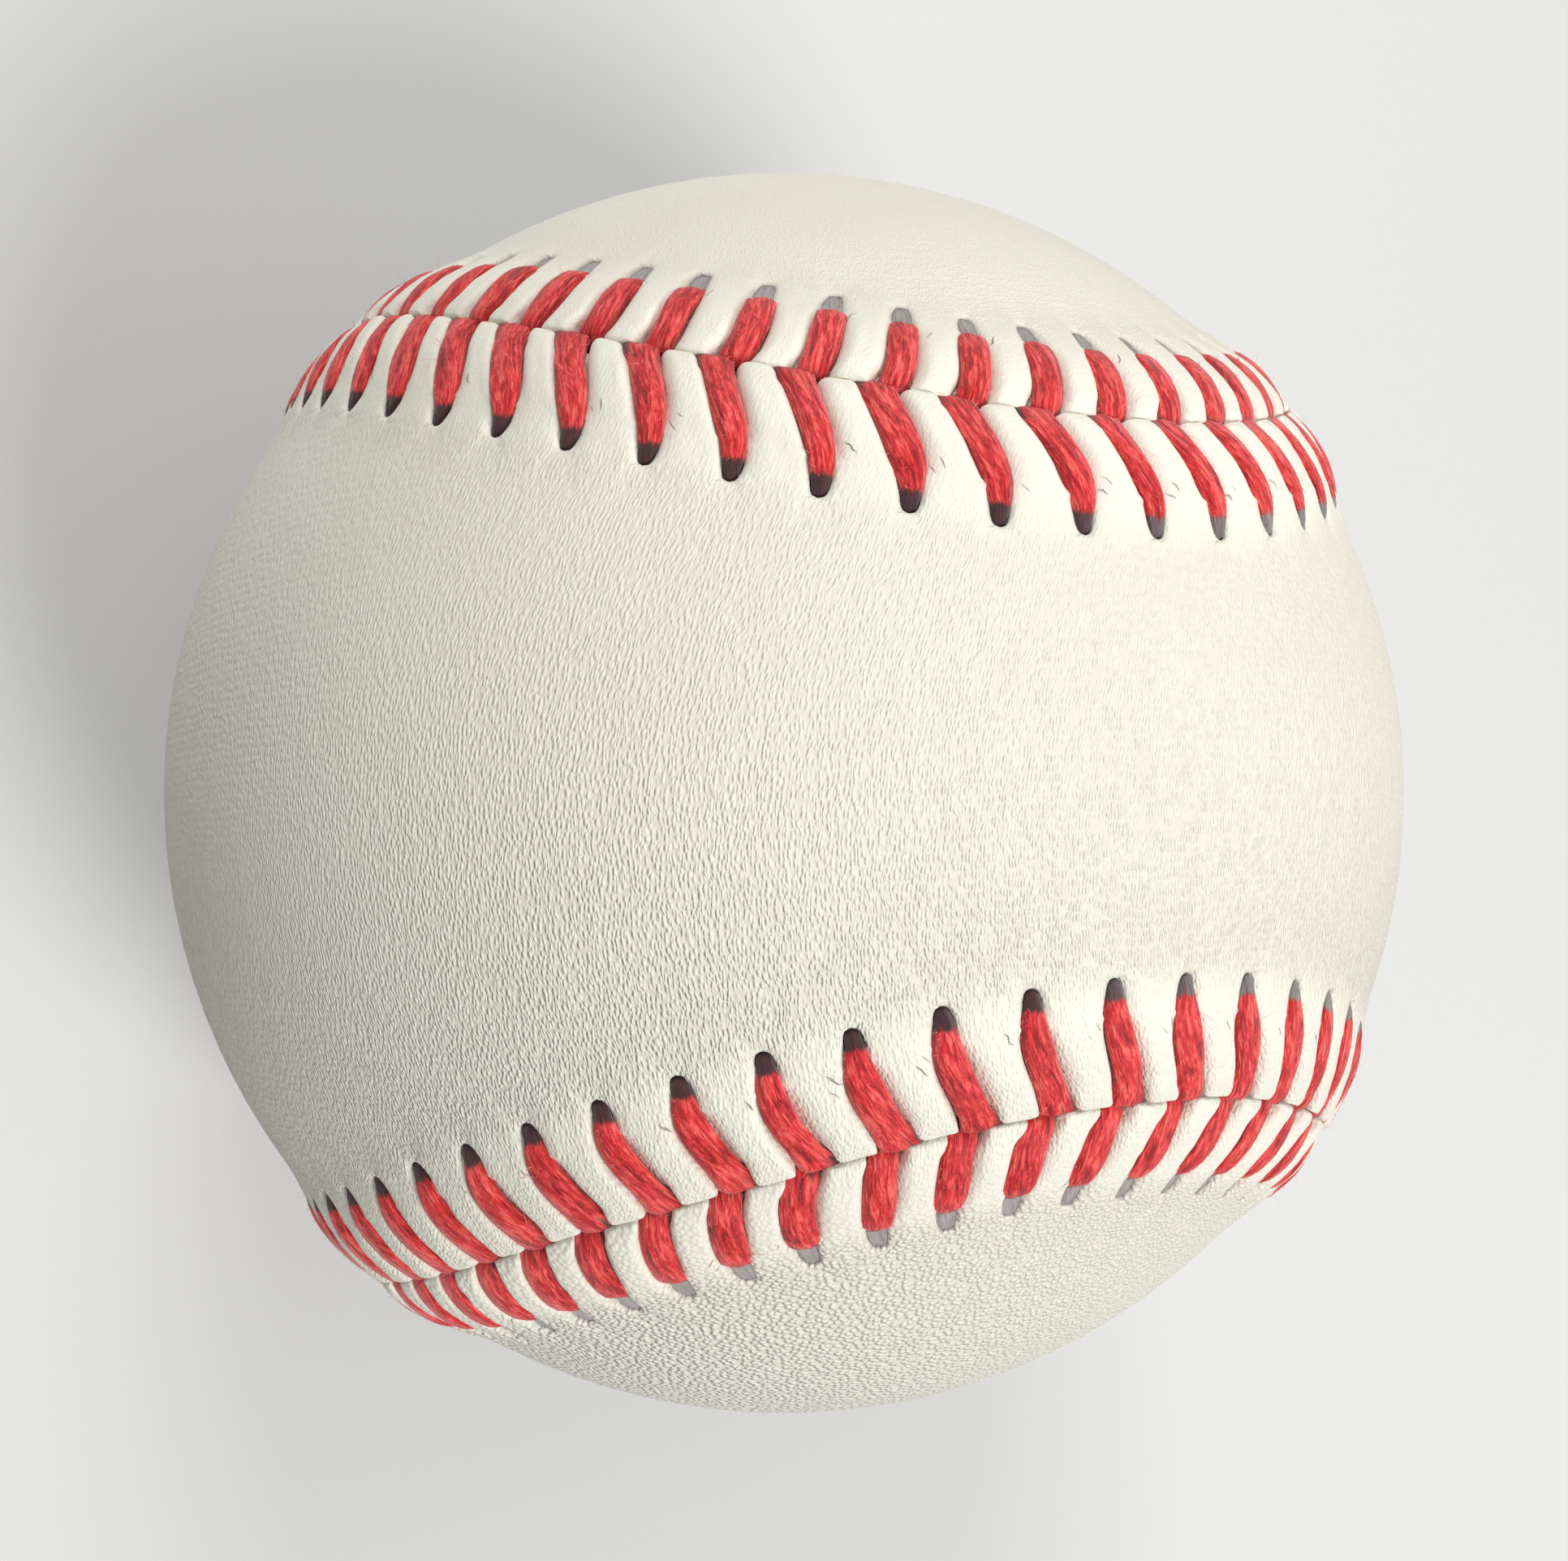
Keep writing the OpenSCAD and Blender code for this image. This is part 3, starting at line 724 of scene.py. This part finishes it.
    # loose hairs that stand out of the visible arms, each with two rings of points and a tip; a
    # darkness below zero marks them
    hairSides = 3
    hairPoints = 2 * hairSides + 1
    shown = np.flatnonzero(shade < 0.5)
    start = count * sides
    for h in range(plan["hairs"] * n):
        r = shown[rng.integers(len(shown))]
        outward = unit(centre[r])
        facing = (unit(skin[r] - centre[r]) @ outward) > -0.15
        a = rng.choice(np.flatnonzero(facing))
        root = skin[r, a] * plan["hairRoot"] + centre[r] * (1 - plan["hairRoot"])
        leave = unit(skin[r, a] - centre[r]) * rng.uniform(0.4, 1)
        leave = unit(leave + ahead[r] * rng.uniform(-1.3, 1.3) + outward * rng.uniform(0, 0.5))
        curl = unit(rng.normal(size=3)) * 0.6 - outward * rng.uniform(0, 0.3)
        isShort = rng.random() < plan["shortHairShare"]
        length = rng.uniform(*plan["shortHair" if isShort else "longHair"])
        side1 = unit(np.cross(leave, outward + 0.01))
        side2 = np.cross(side1, leave)
        for share in (0, 0.5):
            middle = root + length * (leave * share + curl * share ** 2 * 0.5)
            wide = plan["hairRadius"] * (1 - 0.5 * share)
            for j in range(hairSides):
                turn = j * 2 * np.pi / hairSides
                points.append((middle + wide * (side1 * np.cos(turn) + side2 * np.sin(turn)))[None])
        points.append((root + length * (leave + curl * 0.5))[None])
        fibres.append(np.tile(np.array([[rng.uniform(0, 300), 0.3, 0.3]]), (hairPoints, 1)))
        dark.append(np.full(hairPoints, -1.0))
        faces.append((start + 2, start + 1, start))
        ring, tip = start + hairSides, start + hairPoints - 1
        for j in range(hairSides):
            m = (j + 1) % hairSides
            faces.append((start + j, start + m, ring + m, ring + j))
            faces.append((ring + j, ring + m, tip))
        start += hairPoints

    return newPiece(name, np.concatenate(points), faces,
                    {"fibrePlace": np.concatenate(fibres), "deepShade": np.concatenate(dark)})


threadFirst = buildThread("lacingFirst", 1)
threadSecond = buildThread("lacingSecond", -1)
for thread in (threadFirst, threadSecond):
    finishShell(thread, 80)
print("lacing threads shaped:", len(threadFirst.data.polygons), "faces each")


# Node helpers for the materials; a value is a number, a colour or what another node gives
def startMaterial(name):
    material = bpy.data.materials.new(name)
    material.use_nodes = True
    tree = material.node_tree
    return material, tree, tree.nodes["Principled BSDF"]


def setInput(tree, socket, value):
    if isinstance(value, bpy.types.NodeSocket):
        tree.links.new(value, socket)
    else:
        socket.default_value = value


def addNode(tree, kind, inputs=None, **settings):
    made = tree.nodes.new(kind)
    for key, value in settings.items():
        setattr(made, key, value)
    for key, value in (inputs or {}).items():
        setInput(tree, made.inputs[key], value)
    return made


def calc(tree, operation, *values, clamp=False):
    inputs = dict(enumerate(values))
    return addNode(tree, "ShaderNodeMath", inputs, operation=operation, use_clamp=clamp).outputs[0]


def plus(tree, first, second):
    return calc(tree, "ADD", first, second)


def minus(tree, first, second):
    return calc(tree, "SUBTRACT", first, second)


def times(tree, first, second):
    return calc(tree, "MULTIPLY", first, second)


def vectorCalc(tree, operation, *values):
    made = addNode(tree, "ShaderNodeVectorMath", dict(enumerate(values)), operation=operation)
    return made.outputs["Value" if operation == "DOT_PRODUCT" else "Vector"]


def mapRange(tree, value, fromLow, fromHigh, toLow=0.0, toHigh=1.0, steps="LINEAR"):
    limits = {"Value": value, "From Min": fromLow, "From Max": fromHigh, "To Min": toLow, "To Max": toHigh}
    return addNode(tree, "ShaderNodeMapRange", limits, interpolation_type=steps).outputs["Result"]


def mixColour(tree, factor, first, second):
    inputs = {"Factor": factor, 6: first, 7: second}  # 6 and 7 are the two colours
    return addNode(tree, "ShaderNodeMix", inputs, data_type="RGBA").outputs[2]


def attribute(tree, name, output="Fac"):
    return addNode(tree, "ShaderNodeAttribute", attribute_name=name).outputs[output]


def parts(tree, vector):
    return addNode(tree, "ShaderNodeSeparateXYZ", {"Vector": vector}).outputs


def inMillimetres(tree):
    place = addNode(tree, "ShaderNodeTexCoord").outputs["Object"]
    return vectorCalc(tree, "MULTIPLY", place, (1000, 1000, 1000))


def noise(tree, place, scale, detail=2.0, roughness=0.5, distortion=0.0, output="Fac"):
    inputs = {"Vector": place, "Scale": scale, "Detail": detail, "Roughness": roughness,
              "Distortion": distortion}
    return addNode(tree, "ShaderNodeTexNoise", inputs).outputs[output]


def cells(tree, place, scale, randomness=1.0, dimensions="3D"):
    inputs = {"Vector": place, "Scale": scale, "Randomness": randomness}
    settings = {"feature": "F1", "voronoi_dimensions": dimensions}
    return addNode(tree, "ShaderNodeTexVoronoi", inputs, **settings).outputs


# Gives the shader its relief, in metres, and its other inputs
def finishSurface(tree, shader, height, depth, inputs, invert=False):
    relief = {"Height": height, "Strength": 1.0, "Distance": depth}
    bump = addNode(tree, "ShaderNodeBump", relief, invert=invert)
    for key, value in {"Normal": bump.outputs[0], **inputs}.items():
        setInput(tree, shader.inputs[key], value)


def colour(red, green, blue):
    return (red, green, blue, 1.0)


leatherPlan = {
    "base": colour(0.80, 0.782, 0.685),
    "worn": colour(0.73, 0.70, 0.60),
    # valley and crease are painted shade: in the valleys between the grains and in the creases
    "valley": colour(0.50, 0.47, 0.39),
    "creaseShade": colour(0.36, 0.31, 0.27),
    "paleTone": colour(0.86, 0.84, 0.745),
    "stain": colour(0.78, 0.42, 0.38),
    "paleWall": colour(0.46, 0.43, 0.42),
    "holeWallShade": colour(0.09, 0.065, 0.06),
    "grainPerMillimetre": 2.2,
    "grainGather": 0.009,
    "grainGatherFrom": -10.0,
    "grainWidth": 0.172,
    "grainLean": 0.18,
    "grainSway": 0.288,
    "grainSwayStart": 14.0,
    "grainSwayLength": 9.0,
    "grainDepth": 0.00009,
    "beadsPerMillimetre": 2.35,
    "beadHeight": 0.62,
    "beadsFrom": 16.0,
    "beadsFull": 22.0,
    "borderGrain": 0.36,
    "valleyShadeShare": 0.21,
    "valleyShadeMost": 1.9,
    "calmLobe": 0.5,
    "coarseLobe": 4.0,
    "lobeToLobe": (-28.0, 36.0),
    "creaseAhead": -1.05,
    "creaseAway": 3.9,
    "creaseHalf": (0.4, 0.45),
    "creaseShift": 1.6,
    "creaseGap": 0.9,
    "creaseFan": 1.3,
    "creaseLine": 0.88,
    "roughness": 0.52,
    "shine": 0.35,
}


# Two or three short creases where the pull of each thread puckers the leather behind its hole
def creaseLines(tree, place):
    plan = leatherPlan
    x, y, away = parts(tree, attribute(tree, "stitchPlace", "Vector"))
    ahead = times(tree, calc(tree, "ARCTAN2", y, x), float(pitch / (2 * math.pi)))
    luck = noise(tree, place, 0.35, 1)
    chosen = mapRange(tree, noise(tree, place, 0.22, 0), 0.38, 0.46)
    halfAhead, halfAway = plan["creaseHalf"]
    toAhead = calc(tree, "DIVIDE", minus(tree, ahead, plan["creaseAhead"]), halfAhead)
    shift = plan["creaseShift"]
    middle = plus(tree, times(tree, luck, shift), plan["creaseAway"] - shift / 2)
    toAway = calc(tree, "DIVIDE", minus(tree, away, middle), halfAway)
    nearness = plus(tree, times(tree, toAhead, toAhead), times(tree, toAway, toAway))
    patch = times(tree, mapRange(tree, nearness, 0.1, 1.0, 1.0, 0.0), chosen)
    across = plus(tree, times(tree, ahead, plan["creaseFan"]), away)
    wave = times(tree, across, 2 * math.pi / plan["creaseGap"])
    waver = times(tree, noise(tree, place, 1.5, 1), 5.0)
    wave = plus(tree, wave, plus(tree, times(tree, luck, 8.0), waver))
    return times(tree, mapRange(tree, calc(tree, "SINE", wave), plan["creaseLine"], 1.0), patch)


# Coordinates whose cells are long one way and lie in slightly curved rows, as the hide was stretched
def grainRows(tree, place):
    plan = leatherPlan
    x, y, z = parts(tree, place)
    sway = calc(tree, "DIVIDE", plus(tree, x, plan["grainSwayStart"]), plan["grainSwayLength"])
    sway = times(tree, calc(tree, "SINE", sway), plan["grainSway"] * plan["grainSwayLength"])
    lean = plus(tree, times(tree, x, plan["grainLean"]), sway)
    across = calc(tree, "DIVIDE", plus(tree, y, lean), plan["grainWidth"])
    # the cells grow shorter from one lobe to the other
    gather = calc(tree, "POWER", minus(tree, x, plan["grainGatherFrom"]), 2.0)
    along = plus(tree, times(tree, x, plan["grainPerMillimetre"]), times(tree, gather, plan["grainGather"]))
    deep = calc(tree, "DIVIDE", z, plan["grainWidth"])
    return addNode(tree, "ShaderNodeCombineXYZ", {"X": along, "Y": across, "Z": deep}).outputs[0]


# Round beads in a flat pattern, which is wrapped round one lobe with no stretch of its own
def grainBeads(tree, place):
    plan, radius = leatherPlan, ballPlan["radius"]
    x, y, z = parts(tree, place)
    shrink = calc(tree, "DIVIDE", 2.0 * radius, calc(tree, "MAXIMUM", plus(tree, x, radius), 1.0))
    flat = {"X": times(tree, y, shrink), "Y": times(tree, z, shrink)}
    flat = addNode(tree, "ShaderNodeCombineXYZ", flat).outputs[0]
    beads = cells(tree, flat, plan["beadsPerMillimetre"], 0.75, "2D")["Distance"]
    return mapRange(tree, beads, 0.1, 0.66, plan["beadHeight"], 0.0, "SMOOTHSTEP")


# The long cells give way to beads on the lobe of the lower cover where the hide was hardly stretched
def leatherGrain(tree, place, along):
    plan = leatherPlan
    drift = vectorCalc(tree, "SUBTRACT", noise(tree, place, 0.7, 2, output="Color"), (0.5, 0.5, 0.5))
    drifted = vectorCalc(tree, "ADD", place, vectorCalc(tree, "MULTIPLY", drift, (0.4, 0.4, 0.4)))
    rows = grainRows(tree, drifted)
    pebble = mapRange(tree, cells(tree, rows, 1.0, 0.6)["Distance"], 0.1, 0.72, 1.0, 0.0, "SMOOTHSTEP")
    dashes = mapRange(tree, noise(tree, rows, 0.75, 1, 0.5, 0.3), 0.3, 0.7)
    pebble = plus(tree, times(tree, pebble, 0.75), times(tree, dashes, 0.2))
    beaded = mapRange(tree, along, plan["beadsFrom"], plan["beadsFull"], steps="SMOOTHSTEP")
    beaded = times(tree, beaded, attribute(tree, "lowerCover"))
    return plus(tree, pebble, times(tree, minus(tree, grainBeads(tree, drifted), pebble), beaded))


def leatherMaterial():
    plan = leatherPlan
    material, tree, shader = startMaterial("whiteLeather")
    place = inMillimetres(tree)
    along = parts(tree, place)["X"]
    border = attribute(tree, "borderMask")
    pebble = leatherGrain(tree, place, along)
    coarse = calc(tree, "POWER", mapRange(tree, along, *plan["lobeToLobe"]), 1.8)
    coarse = mapRange(tree, coarse, 0.0, 1.0, plan["calmLobe"], plan["coarseLobe"])
    strength = times(tree, coarse, mapRange(tree, border, 0.0, 1.0, 1.0, plan["borderGrain"]))
    fine = noise(tree, place, 5.0, 3, 0.6)
    slow = noise(tree, place, 0.8, 2)
    creases = creaseLines(tree, place)
    height = times(tree, times(tree, pebble, strength), 0.75)
    height = plus(tree, height, plus(tree, times(tree, fine, 0.3), times(tree, slow, 0.25)))
    height = minus(tree, height, creases)

    # tone: worn patches and specks, paler on the border and towards +X, and painted shade between the
    # grains
    patches = mapRange(tree, noise(tree, place, 0.06, 3, 0.6), 0.35, 0.75)
    tone = mixColour(tree, times(tree, patches, 0.5), plan["base"], plan["worn"])
    speckle = mapRange(tree, fine, 0.3, 0.75)
    tone = mixColour(tree, times(tree, speckle, 0.3), tone, plan["worn"])
    lifted = calc(tree, "MAXIMUM", times(tree, border, 0.4), mapRange(tree, along, -5.0, 28.0, 0.0, 0.9))
    tone = mixColour(tree, lifted, tone, plan["paleTone"])
    # painted shade in the valleys between the grains
    valleyShade = mapRange(tree, pebble, 0.05, 0.55, 1.0, 0.0)
    valleyShadeShare = times(tree, calc(tree, "MINIMUM", strength, plan["valleyShadeMost"]), plan["valleyShadeShare"])
    tone = mixColour(tree, times(tree, valleyShade, valleyShadeShare), tone, plan["valley"])
    # painted shade in the creases, which the bump also sinks
    tone = mixColour(tree, times(tree, creases, 0.9), tone, plan["creaseShade"])

    # red rubbed off the threads above zero, partly painted light where it is thicker on the threads' lit
    # side; below zero the cut walls of the holes, pale on the lower cover and painted shade on the upper
    stainOrWallShade = attribute(tree, "stainAndWallShade")
    rubbedOff = mapRange(tree, noise(tree, place, 1.6, 2), 0.35, 0.7, 0.12, 0.75)
    tone = mixColour(tree, times(tree, calc(tree, "MAXIMUM", stainOrWallShade, 0.0), rubbedOff), tone, plan["stain"])
    wallToneOrShade = mixColour(tree, mapRange(tree, stainOrWallShade, -0.6, -0.75), plan["paleWall"], plan["holeWallShade"])
    tone = mixColour(tree, mapRange(tree, stainOrWallShade, 0.0, -0.1), tone, wallToneOrShade)
    rough = mapRange(tree, fine, 0.3, 0.7, plan["roughness"] - 0.05, plan["roughness"] + 0.1)
    finishSurface(tree, shader, height, plan["grainDepth"],
                  {"Base Color": tone, "Roughness": rough, "Specular IOR Level": plan["shine"]})
    return material


redThreadPlan = {
    # light and deep are partly painted highlight and painted shade on the strands
    "light": colour(0.97, 0.145, 0.125),
    "base": colour(0.66, 0.022, 0.025),
    "deep": colour(0.25, 0.004, 0.007),
    "toneStops": (0.38, 0.5, 0.62),
    "grooveShade": colour(0.16, 0.004, 0.007),
    "hole": colour(0.035, 0.02, 0.022),
    # grey tones for the pale fill of the lower holes and for the painted light in the holes on the lit side
    "holeGrey": colour(0.15, 0.137, 0.13),
    "paleHoleGrey": colour(0.60, 0.565, 0.53),
    "fuzz": colour(0.90, 0.30, 0.27),
    "litHoleWay": (0.036, 0.892, 0.45),
    "litHoleReach": (12.0, 24.0),
    "bumpDepth": 0.00014,
    "finish": {"Roughness": 0.55, "Specular IOR Level": 0.3, "Sheen Weight": 0.25, "Sheen Roughness": 0.4},
}


def threadMaterial():
    plan = redThreadPlan
    material, tree, shader = startMaterial("waxedRedThread")
    fibre = attribute(tree, "fibrePlace", "Vector")

    # noise that is long along the thread and fine round it
    def fibres(stretch, *settings):
        return noise(tree, vectorCalc(tree, "MULTIPLY", fibre, stretch), 1.0, *settings)

    strands = fibres((0.65, 4.4, 4.4), 2, 0.55, 0.6)
    hairs = fibres((1.6, 10, 10), 3, 0.6, 0.8)
    furrows = calc(tree, "ABSOLUTE", minus(tree, fibres((0.45, 3.6, 3.6), 1), 0.5))
    furrows = mapRange(tree, furrows, 0.01, 0.06, 1.0, 0.0)
    # tone from the strands' height: partly the thread's own uneven tone, partly painted highlight on the
    # raised strands and painted shade between them
    height = plus(tree, times(tree, strands, 0.5), times(tree, hairs, 0.5))
    ramp = addNode(tree, "ShaderNodeValToRGB", {"Fac": height})
    stops = ramp.color_ramp.elements
    stops[0].position, middle, stops[1].position = plan["toneStops"]
    stops[0].color, stops[1].color = plan["deep"], plan["light"]
    stops.new(middle).color = plan["base"]
    # painted shade in the furrows between the strands
    tone = mixColour(tree, times(tree, furrows, 0.1), ramp.outputs["Color"], plan["grooveShade"])
    height = minus(tree, height, times(tree, furrows, 0.15))

    # darkness: below zero it marks a loose hair; from 0.2 up it is painted shade where the thread sinks
    # into a hole or between the covers, and above one a pale grey fill in the holes of the lower cover; the
    # sunk parts on the lit side of the ball are painted paler, a painted light
    shade = attribute(tree, "deepShade")
    uneven = times(tree, minus(tree, strands, 0.5), 1.6)
    sinkShade = mapRange(tree, plus(tree, shade, uneven), 0.2, 0.7, 0.0, 0.96, "SMOOTHSTEP")
    tone = mixColour(tree, sinkShade, tone, plan["hole"])
    # grey for the pale fill of the lower cover's holes, and painted light: the sunk parts on the lit side
    # of the ball are painted paler grey
    holeGrey = mixColour(tree, height, plan["holeGrey"], plan["paleHoleGrey"])
    litHoles = vectorCalc(tree, "DOT_PRODUCT", inMillimetres(tree), plan["litHoleWay"])
    litHoles = times(tree, mapRange(tree, litHoles, *plan["litHoleReach"], 0.0, 0.65), sinkShade)
    tone = mixColour(tree, calc(tree, "MAXIMUM", litHoles, mapRange(tree, shade, 1.25, 1.6)), tone, holeGrey)
    tone = mixColour(tree, calc(tree, "MULTIPLY", shade, -1.0, clamp=True), tone, plan["fuzz"])
    finishSurface(tree, shader, height, plan["bumpDepth"], {"Base Color": tone, **plan["finish"]})
    return material


# Finishes of the layers inside, which show when the covers are taken off
insidePlan = {
    "cork": {"grains": 1.1, "light": colour(0.60, 0.42, 0.26), "dark": colour(0.20, 0.12, 0.07),
             "black": colour(0.03, 0.03, 0.03)},
    "blackRubber": {"light": colour(0.05, 0.05, 0.053), "dark": colour(0.02, 0.02, 0.022)},
    "redRubber": {"light": colour(0.52, 0.075, 0.06), "dark": colour(0.34, 0.03, 0.026)},
    "greyWool": {"width": 2.6, "light": colour(0.43, 0.43, 0.44), "dark": colour(0.13, 0.13, 0.14)},
    "whiteWool": {"width": 2.2, "light": colour(0.84, 0.82, 0.76), "dark": colour(0.42, 0.40, 0.36)},
    "fineYarn": {"width": 1.0, "light": colour(0.86, 0.84, 0.79), "dark": colour(0.46, 0.44, 0.40)},
    "cement": {"light": colour(0.58, 0.55, 0.47), "dark": colour(0.38, 0.35, 0.29)},
    "yarnWays": ((0.2, 0.9, 0.4), (0.85, -0.3, 0.45), (-0.5, -0.35, 0.8), (0.6, 0.65, -0.45)),
}


def corkMaterial():
    plan = insidePlan["cork"]
    material, tree, shader = startMaterial("corkGranules")
    grains = cells(tree, inMillimetres(tree), 1 / plan["grains"])
    kind = parts(tree, grains["Color"])
    tone = mixColour(tree, kind["X"], plan["dark"], plan["light"])
    tone = mixColour(tree, mapRange(tree, kind["Y"], 0.74, 0.76), tone, plan["black"])
    tone = mixColour(tree, mapRange(tree, grains["Distance"], 0.35, 0.75), tone, plan["dark"])
    finishSurface(tree, shader, grains["Distance"], 0.0002,
                  {"Base Color": tone, "Roughness": 0.85}, invert=True)
    return material


# Moulded rubber and dried cement: cloudy, with fine pits
def cloudyMaterial(name, plan, cloud, roughness):
    material, tree, shader = startMaterial(name)
    place = inMillimetres(tree)
    clouds = noise(tree, place, cloud, 4, 0.6)
    pits = noise(tree, place, 4.0, 2)
    tone = mixColour(tree, mapRange(tree, clouds, 0.3, 0.7), plan["dark"], plan["light"])
    rough = mapRange(tree, pits, 0.3, 0.7, roughness - 0.06, roughness + 0.08)
    finishSurface(tree, shader, plus(tree, clouds, pits), 0.00008, {"Base Color": tone, "Roughness": rough})
    return material


# Wound yarn: runs of parallel strands that cross one another in patches
def yarnMaterial(name):
    plan = insidePlan[name]
    material, tree, shader = startMaterial(name)
    place = inMillimetres(tree)
    wander = vectorCalc(tree, "MULTIPLY", noise(tree, place, 0.12, 1, output="Color"), (4, 4, 4))
    wandered = vectorCalc(tree, "ADD", place, wander)
    height = None
    for i, way in enumerate(insidePlan["yarnWays"]):
        run = vectorCalc(tree, "DOT_PRODUCT", wandered, way)
        strand = calc(tree, "ABSOLUTE", calc(tree, "SINE", times(tree, run, math.pi / plan["width"])))
        shifted = vectorCalc(tree, "ADD", place, (31.0 * i, 0.0, 0.0))
        patch = mapRange(tree, noise(tree, shifted, 0.11, 1), 0.47, 0.53)
        layer = plus(tree, times(tree, strand, 0.6), times(tree, patch, 0.4))
        height = layer if height is None else calc(tree, "MAXIMUM", height, layer)
    fibres = noise(tree, place, 2.4 / plan["width"], 4, 0.7)
    # painted shade: the yarn is darker between its strands, where it lies lower
    tone = mixColour(tree, mapRange(tree, height, 0.35, 0.95), plan["dark"], plan["light"])
    tone = mixColour(tree, mapRange(tree, fibres, 0.45, 0.75, 0.0, 0.5), tone, plan["dark"])
    finishSurface(tree, shader, plus(tree, height, times(tree, fibres, 0.3)), 0.0003 * plan["width"],
                  {"Base Color": tone, "Roughness": 0.9, "Sheen Weight": 0.2})
    return material


cork = corkMaterial()
blackRubber = cloudyMaterial("blackRubber", insidePlan["blackRubber"], 0.5, 0.6)
redRubber = cloudyMaterial("redRubber", insidePlan["redRubber"], 0.4, 0.55)
greyWool, whiteWool, fineYarn = (yarnMaterial(name) for name in ("greyWool", "whiteWool", "fineYarn"))
cement = cloudyMaterial("rubberCement", insidePlan["cement"], 0.15, 0.35)
insideFinishes = {
    "cork_core": cork,
    "black_shell_upper": blackRubber,
    "black_shell_lower": blackRubber,
    "shell_washer": redRubber,
    "red_shell": redRubber,
    "first_winding": greyWool,
    "second_winding": whiteWool,
    "third_winding": greyWool,
    "finishing_winding": fineYarn,
    "cement_coat": cement,
}
for node, material in insideFinishes.items():
    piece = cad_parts[node]
    for slot in piece.material_slots:
        slot.material = material
    if not piece.material_slots:
        piece.data.materials.append(material)
print("inner layers finished")

leather = leatherMaterial()
redThread = threadMaterial()
for cover, node in ((coverUpper, "cover_upper"), (coverLower, "cover_lower")):
    cover.data.materials.append(leather)
    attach(cover, "root")
    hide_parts(node)
for thread, node in ((threadFirst, "lacing_thread_first"), (threadSecond, "lacing_thread_second")):
    thread.data.materials.append(redThread)
    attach(thread, "root")
    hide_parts(node)
print("leather and thread finished")


# Camera at the photograph's angle; its axes are picture right, picture up and the way back to it
cameraPlan = {
    "right": (0.03634, 0.89229, 0.45),
    "up": (-0.99873, 0.01675, 0.04744),
    "back": (0.03479, -0.45115, 0.89177),
    "distance": 0.1129,
    "lens": 41.17,
    "sensor": 36.0,
    "shift": (0.0, 0.0078),
}
cameraData = bpy.data.cameras.new("photoCamera")
cameraData.lens = cameraPlan["lens"]
cameraData.sensor_width = cameraPlan["sensor"]
cameraData.shift_x, cameraData.shift_y = cameraPlan["shift"]
cameraData.clip_start = 0.005
camera = bpy.data.objects.new("photoCamera", cameraData)
bpy.context.collection.objects.link(camera)
pictureRight, pictureUp, towardCamera = (
    Vector(cameraPlan[key]).normalized() for key in ("right", "up", "back"))
turn = Matrix((pictureRight, pictureUp, towardCamera)).transposed().to_4x4()
camera.matrix_world = Matrix.Translation(towardCamera * cameraPlan["distance"]) @ turn
bpy.context.scene.camera = camera

stagePlan = {
    "floorSize": 3.0,
    "floorSeen": colour(0.64, 0.64, 0.63),
    "floorSpeck": colour(0.6, 0.6, 0.6),
    "floorLit": colour(0.16, 0.16, 0.16),
    "ambient": 0.5,
    "ambientColour": colour(1.0, 0.99, 0.97),
    "lampDistance": 0.6,
    "lampSize": 0.24,
    "upperPower": 1.91,
    "upperWay": (0.13, 0.87, 0.48),
    "lowerPower": 2.56,
    "lowerWay": (0.55, -0.5, 0.67),
}
bpy.ops.mesh.primitive_plane_add(size=stagePlan["floorSize"], location=(0, 0, cadBox[0].z))
floor = bpy.context.active_object
floor.name = "studioFloor"
floorMaterial, tree, shader = startMaterial("paleFloor")
ray = addNode(tree, "ShaderNodeLightPath").outputs
seen = calc(tree, "MAXIMUM", ray["Is Camera Ray"], ray["Is Glossy Ray"])
speck = noise(tree, addNode(tree, "ShaderNodeTexCoord").outputs["Object"], 600)
speck = mapRange(tree, speck, 0.3, 0.7, 0.0, 0.08)
pale = mixColour(tree, speck, stagePlan["floorSeen"], stagePlan["floorSpeck"])
tree.links.new(mixColour(tree, seen, stagePlan["floorLit"], pale), shader.inputs["Base Color"])
shader.inputs["Roughness"].default_value = 0.85
floor.data.materials.append(floorMaterial)

world = bpy.context.scene.world or bpy.data.worlds.new("studio")
bpy.context.scene.world = world
world.use_nodes = True
sky = world.node_tree.nodes["Background"].inputs
sky["Color"].default_value = stagePlan["ambientColour"]
sky["Strength"].default_value = stagePlan["ambient"]


def addLamp(name, way, power):
    toward = (pictureRight * way[0] + pictureUp * way[1] + towardCamera * way[2]).normalized()
    lampData = bpy.data.lights.new(name, "AREA")
    lampData.energy = power
    lampData.shape = "DISK"
    lampData.size = stagePlan["lampSize"]
    lamp = bpy.data.objects.new(name, lampData)
    bpy.context.collection.objects.link(lamp)
    lamp.location = toward * stagePlan["lampDistance"]
    lamp.rotation_mode = "QUATERNION"
    lamp.rotation_quaternion = toward.to_track_quat("Z", "Y")


addLamp("upperLamp", stagePlan["upperWay"], stagePlan["upperPower"])
addLamp("lowerLamp", stagePlan["lowerWay"], stagePlan["lowerPower"])
bpy.context.scene.view_settings.view_transform = "Standard"
print("camera, floor and lamps placed")
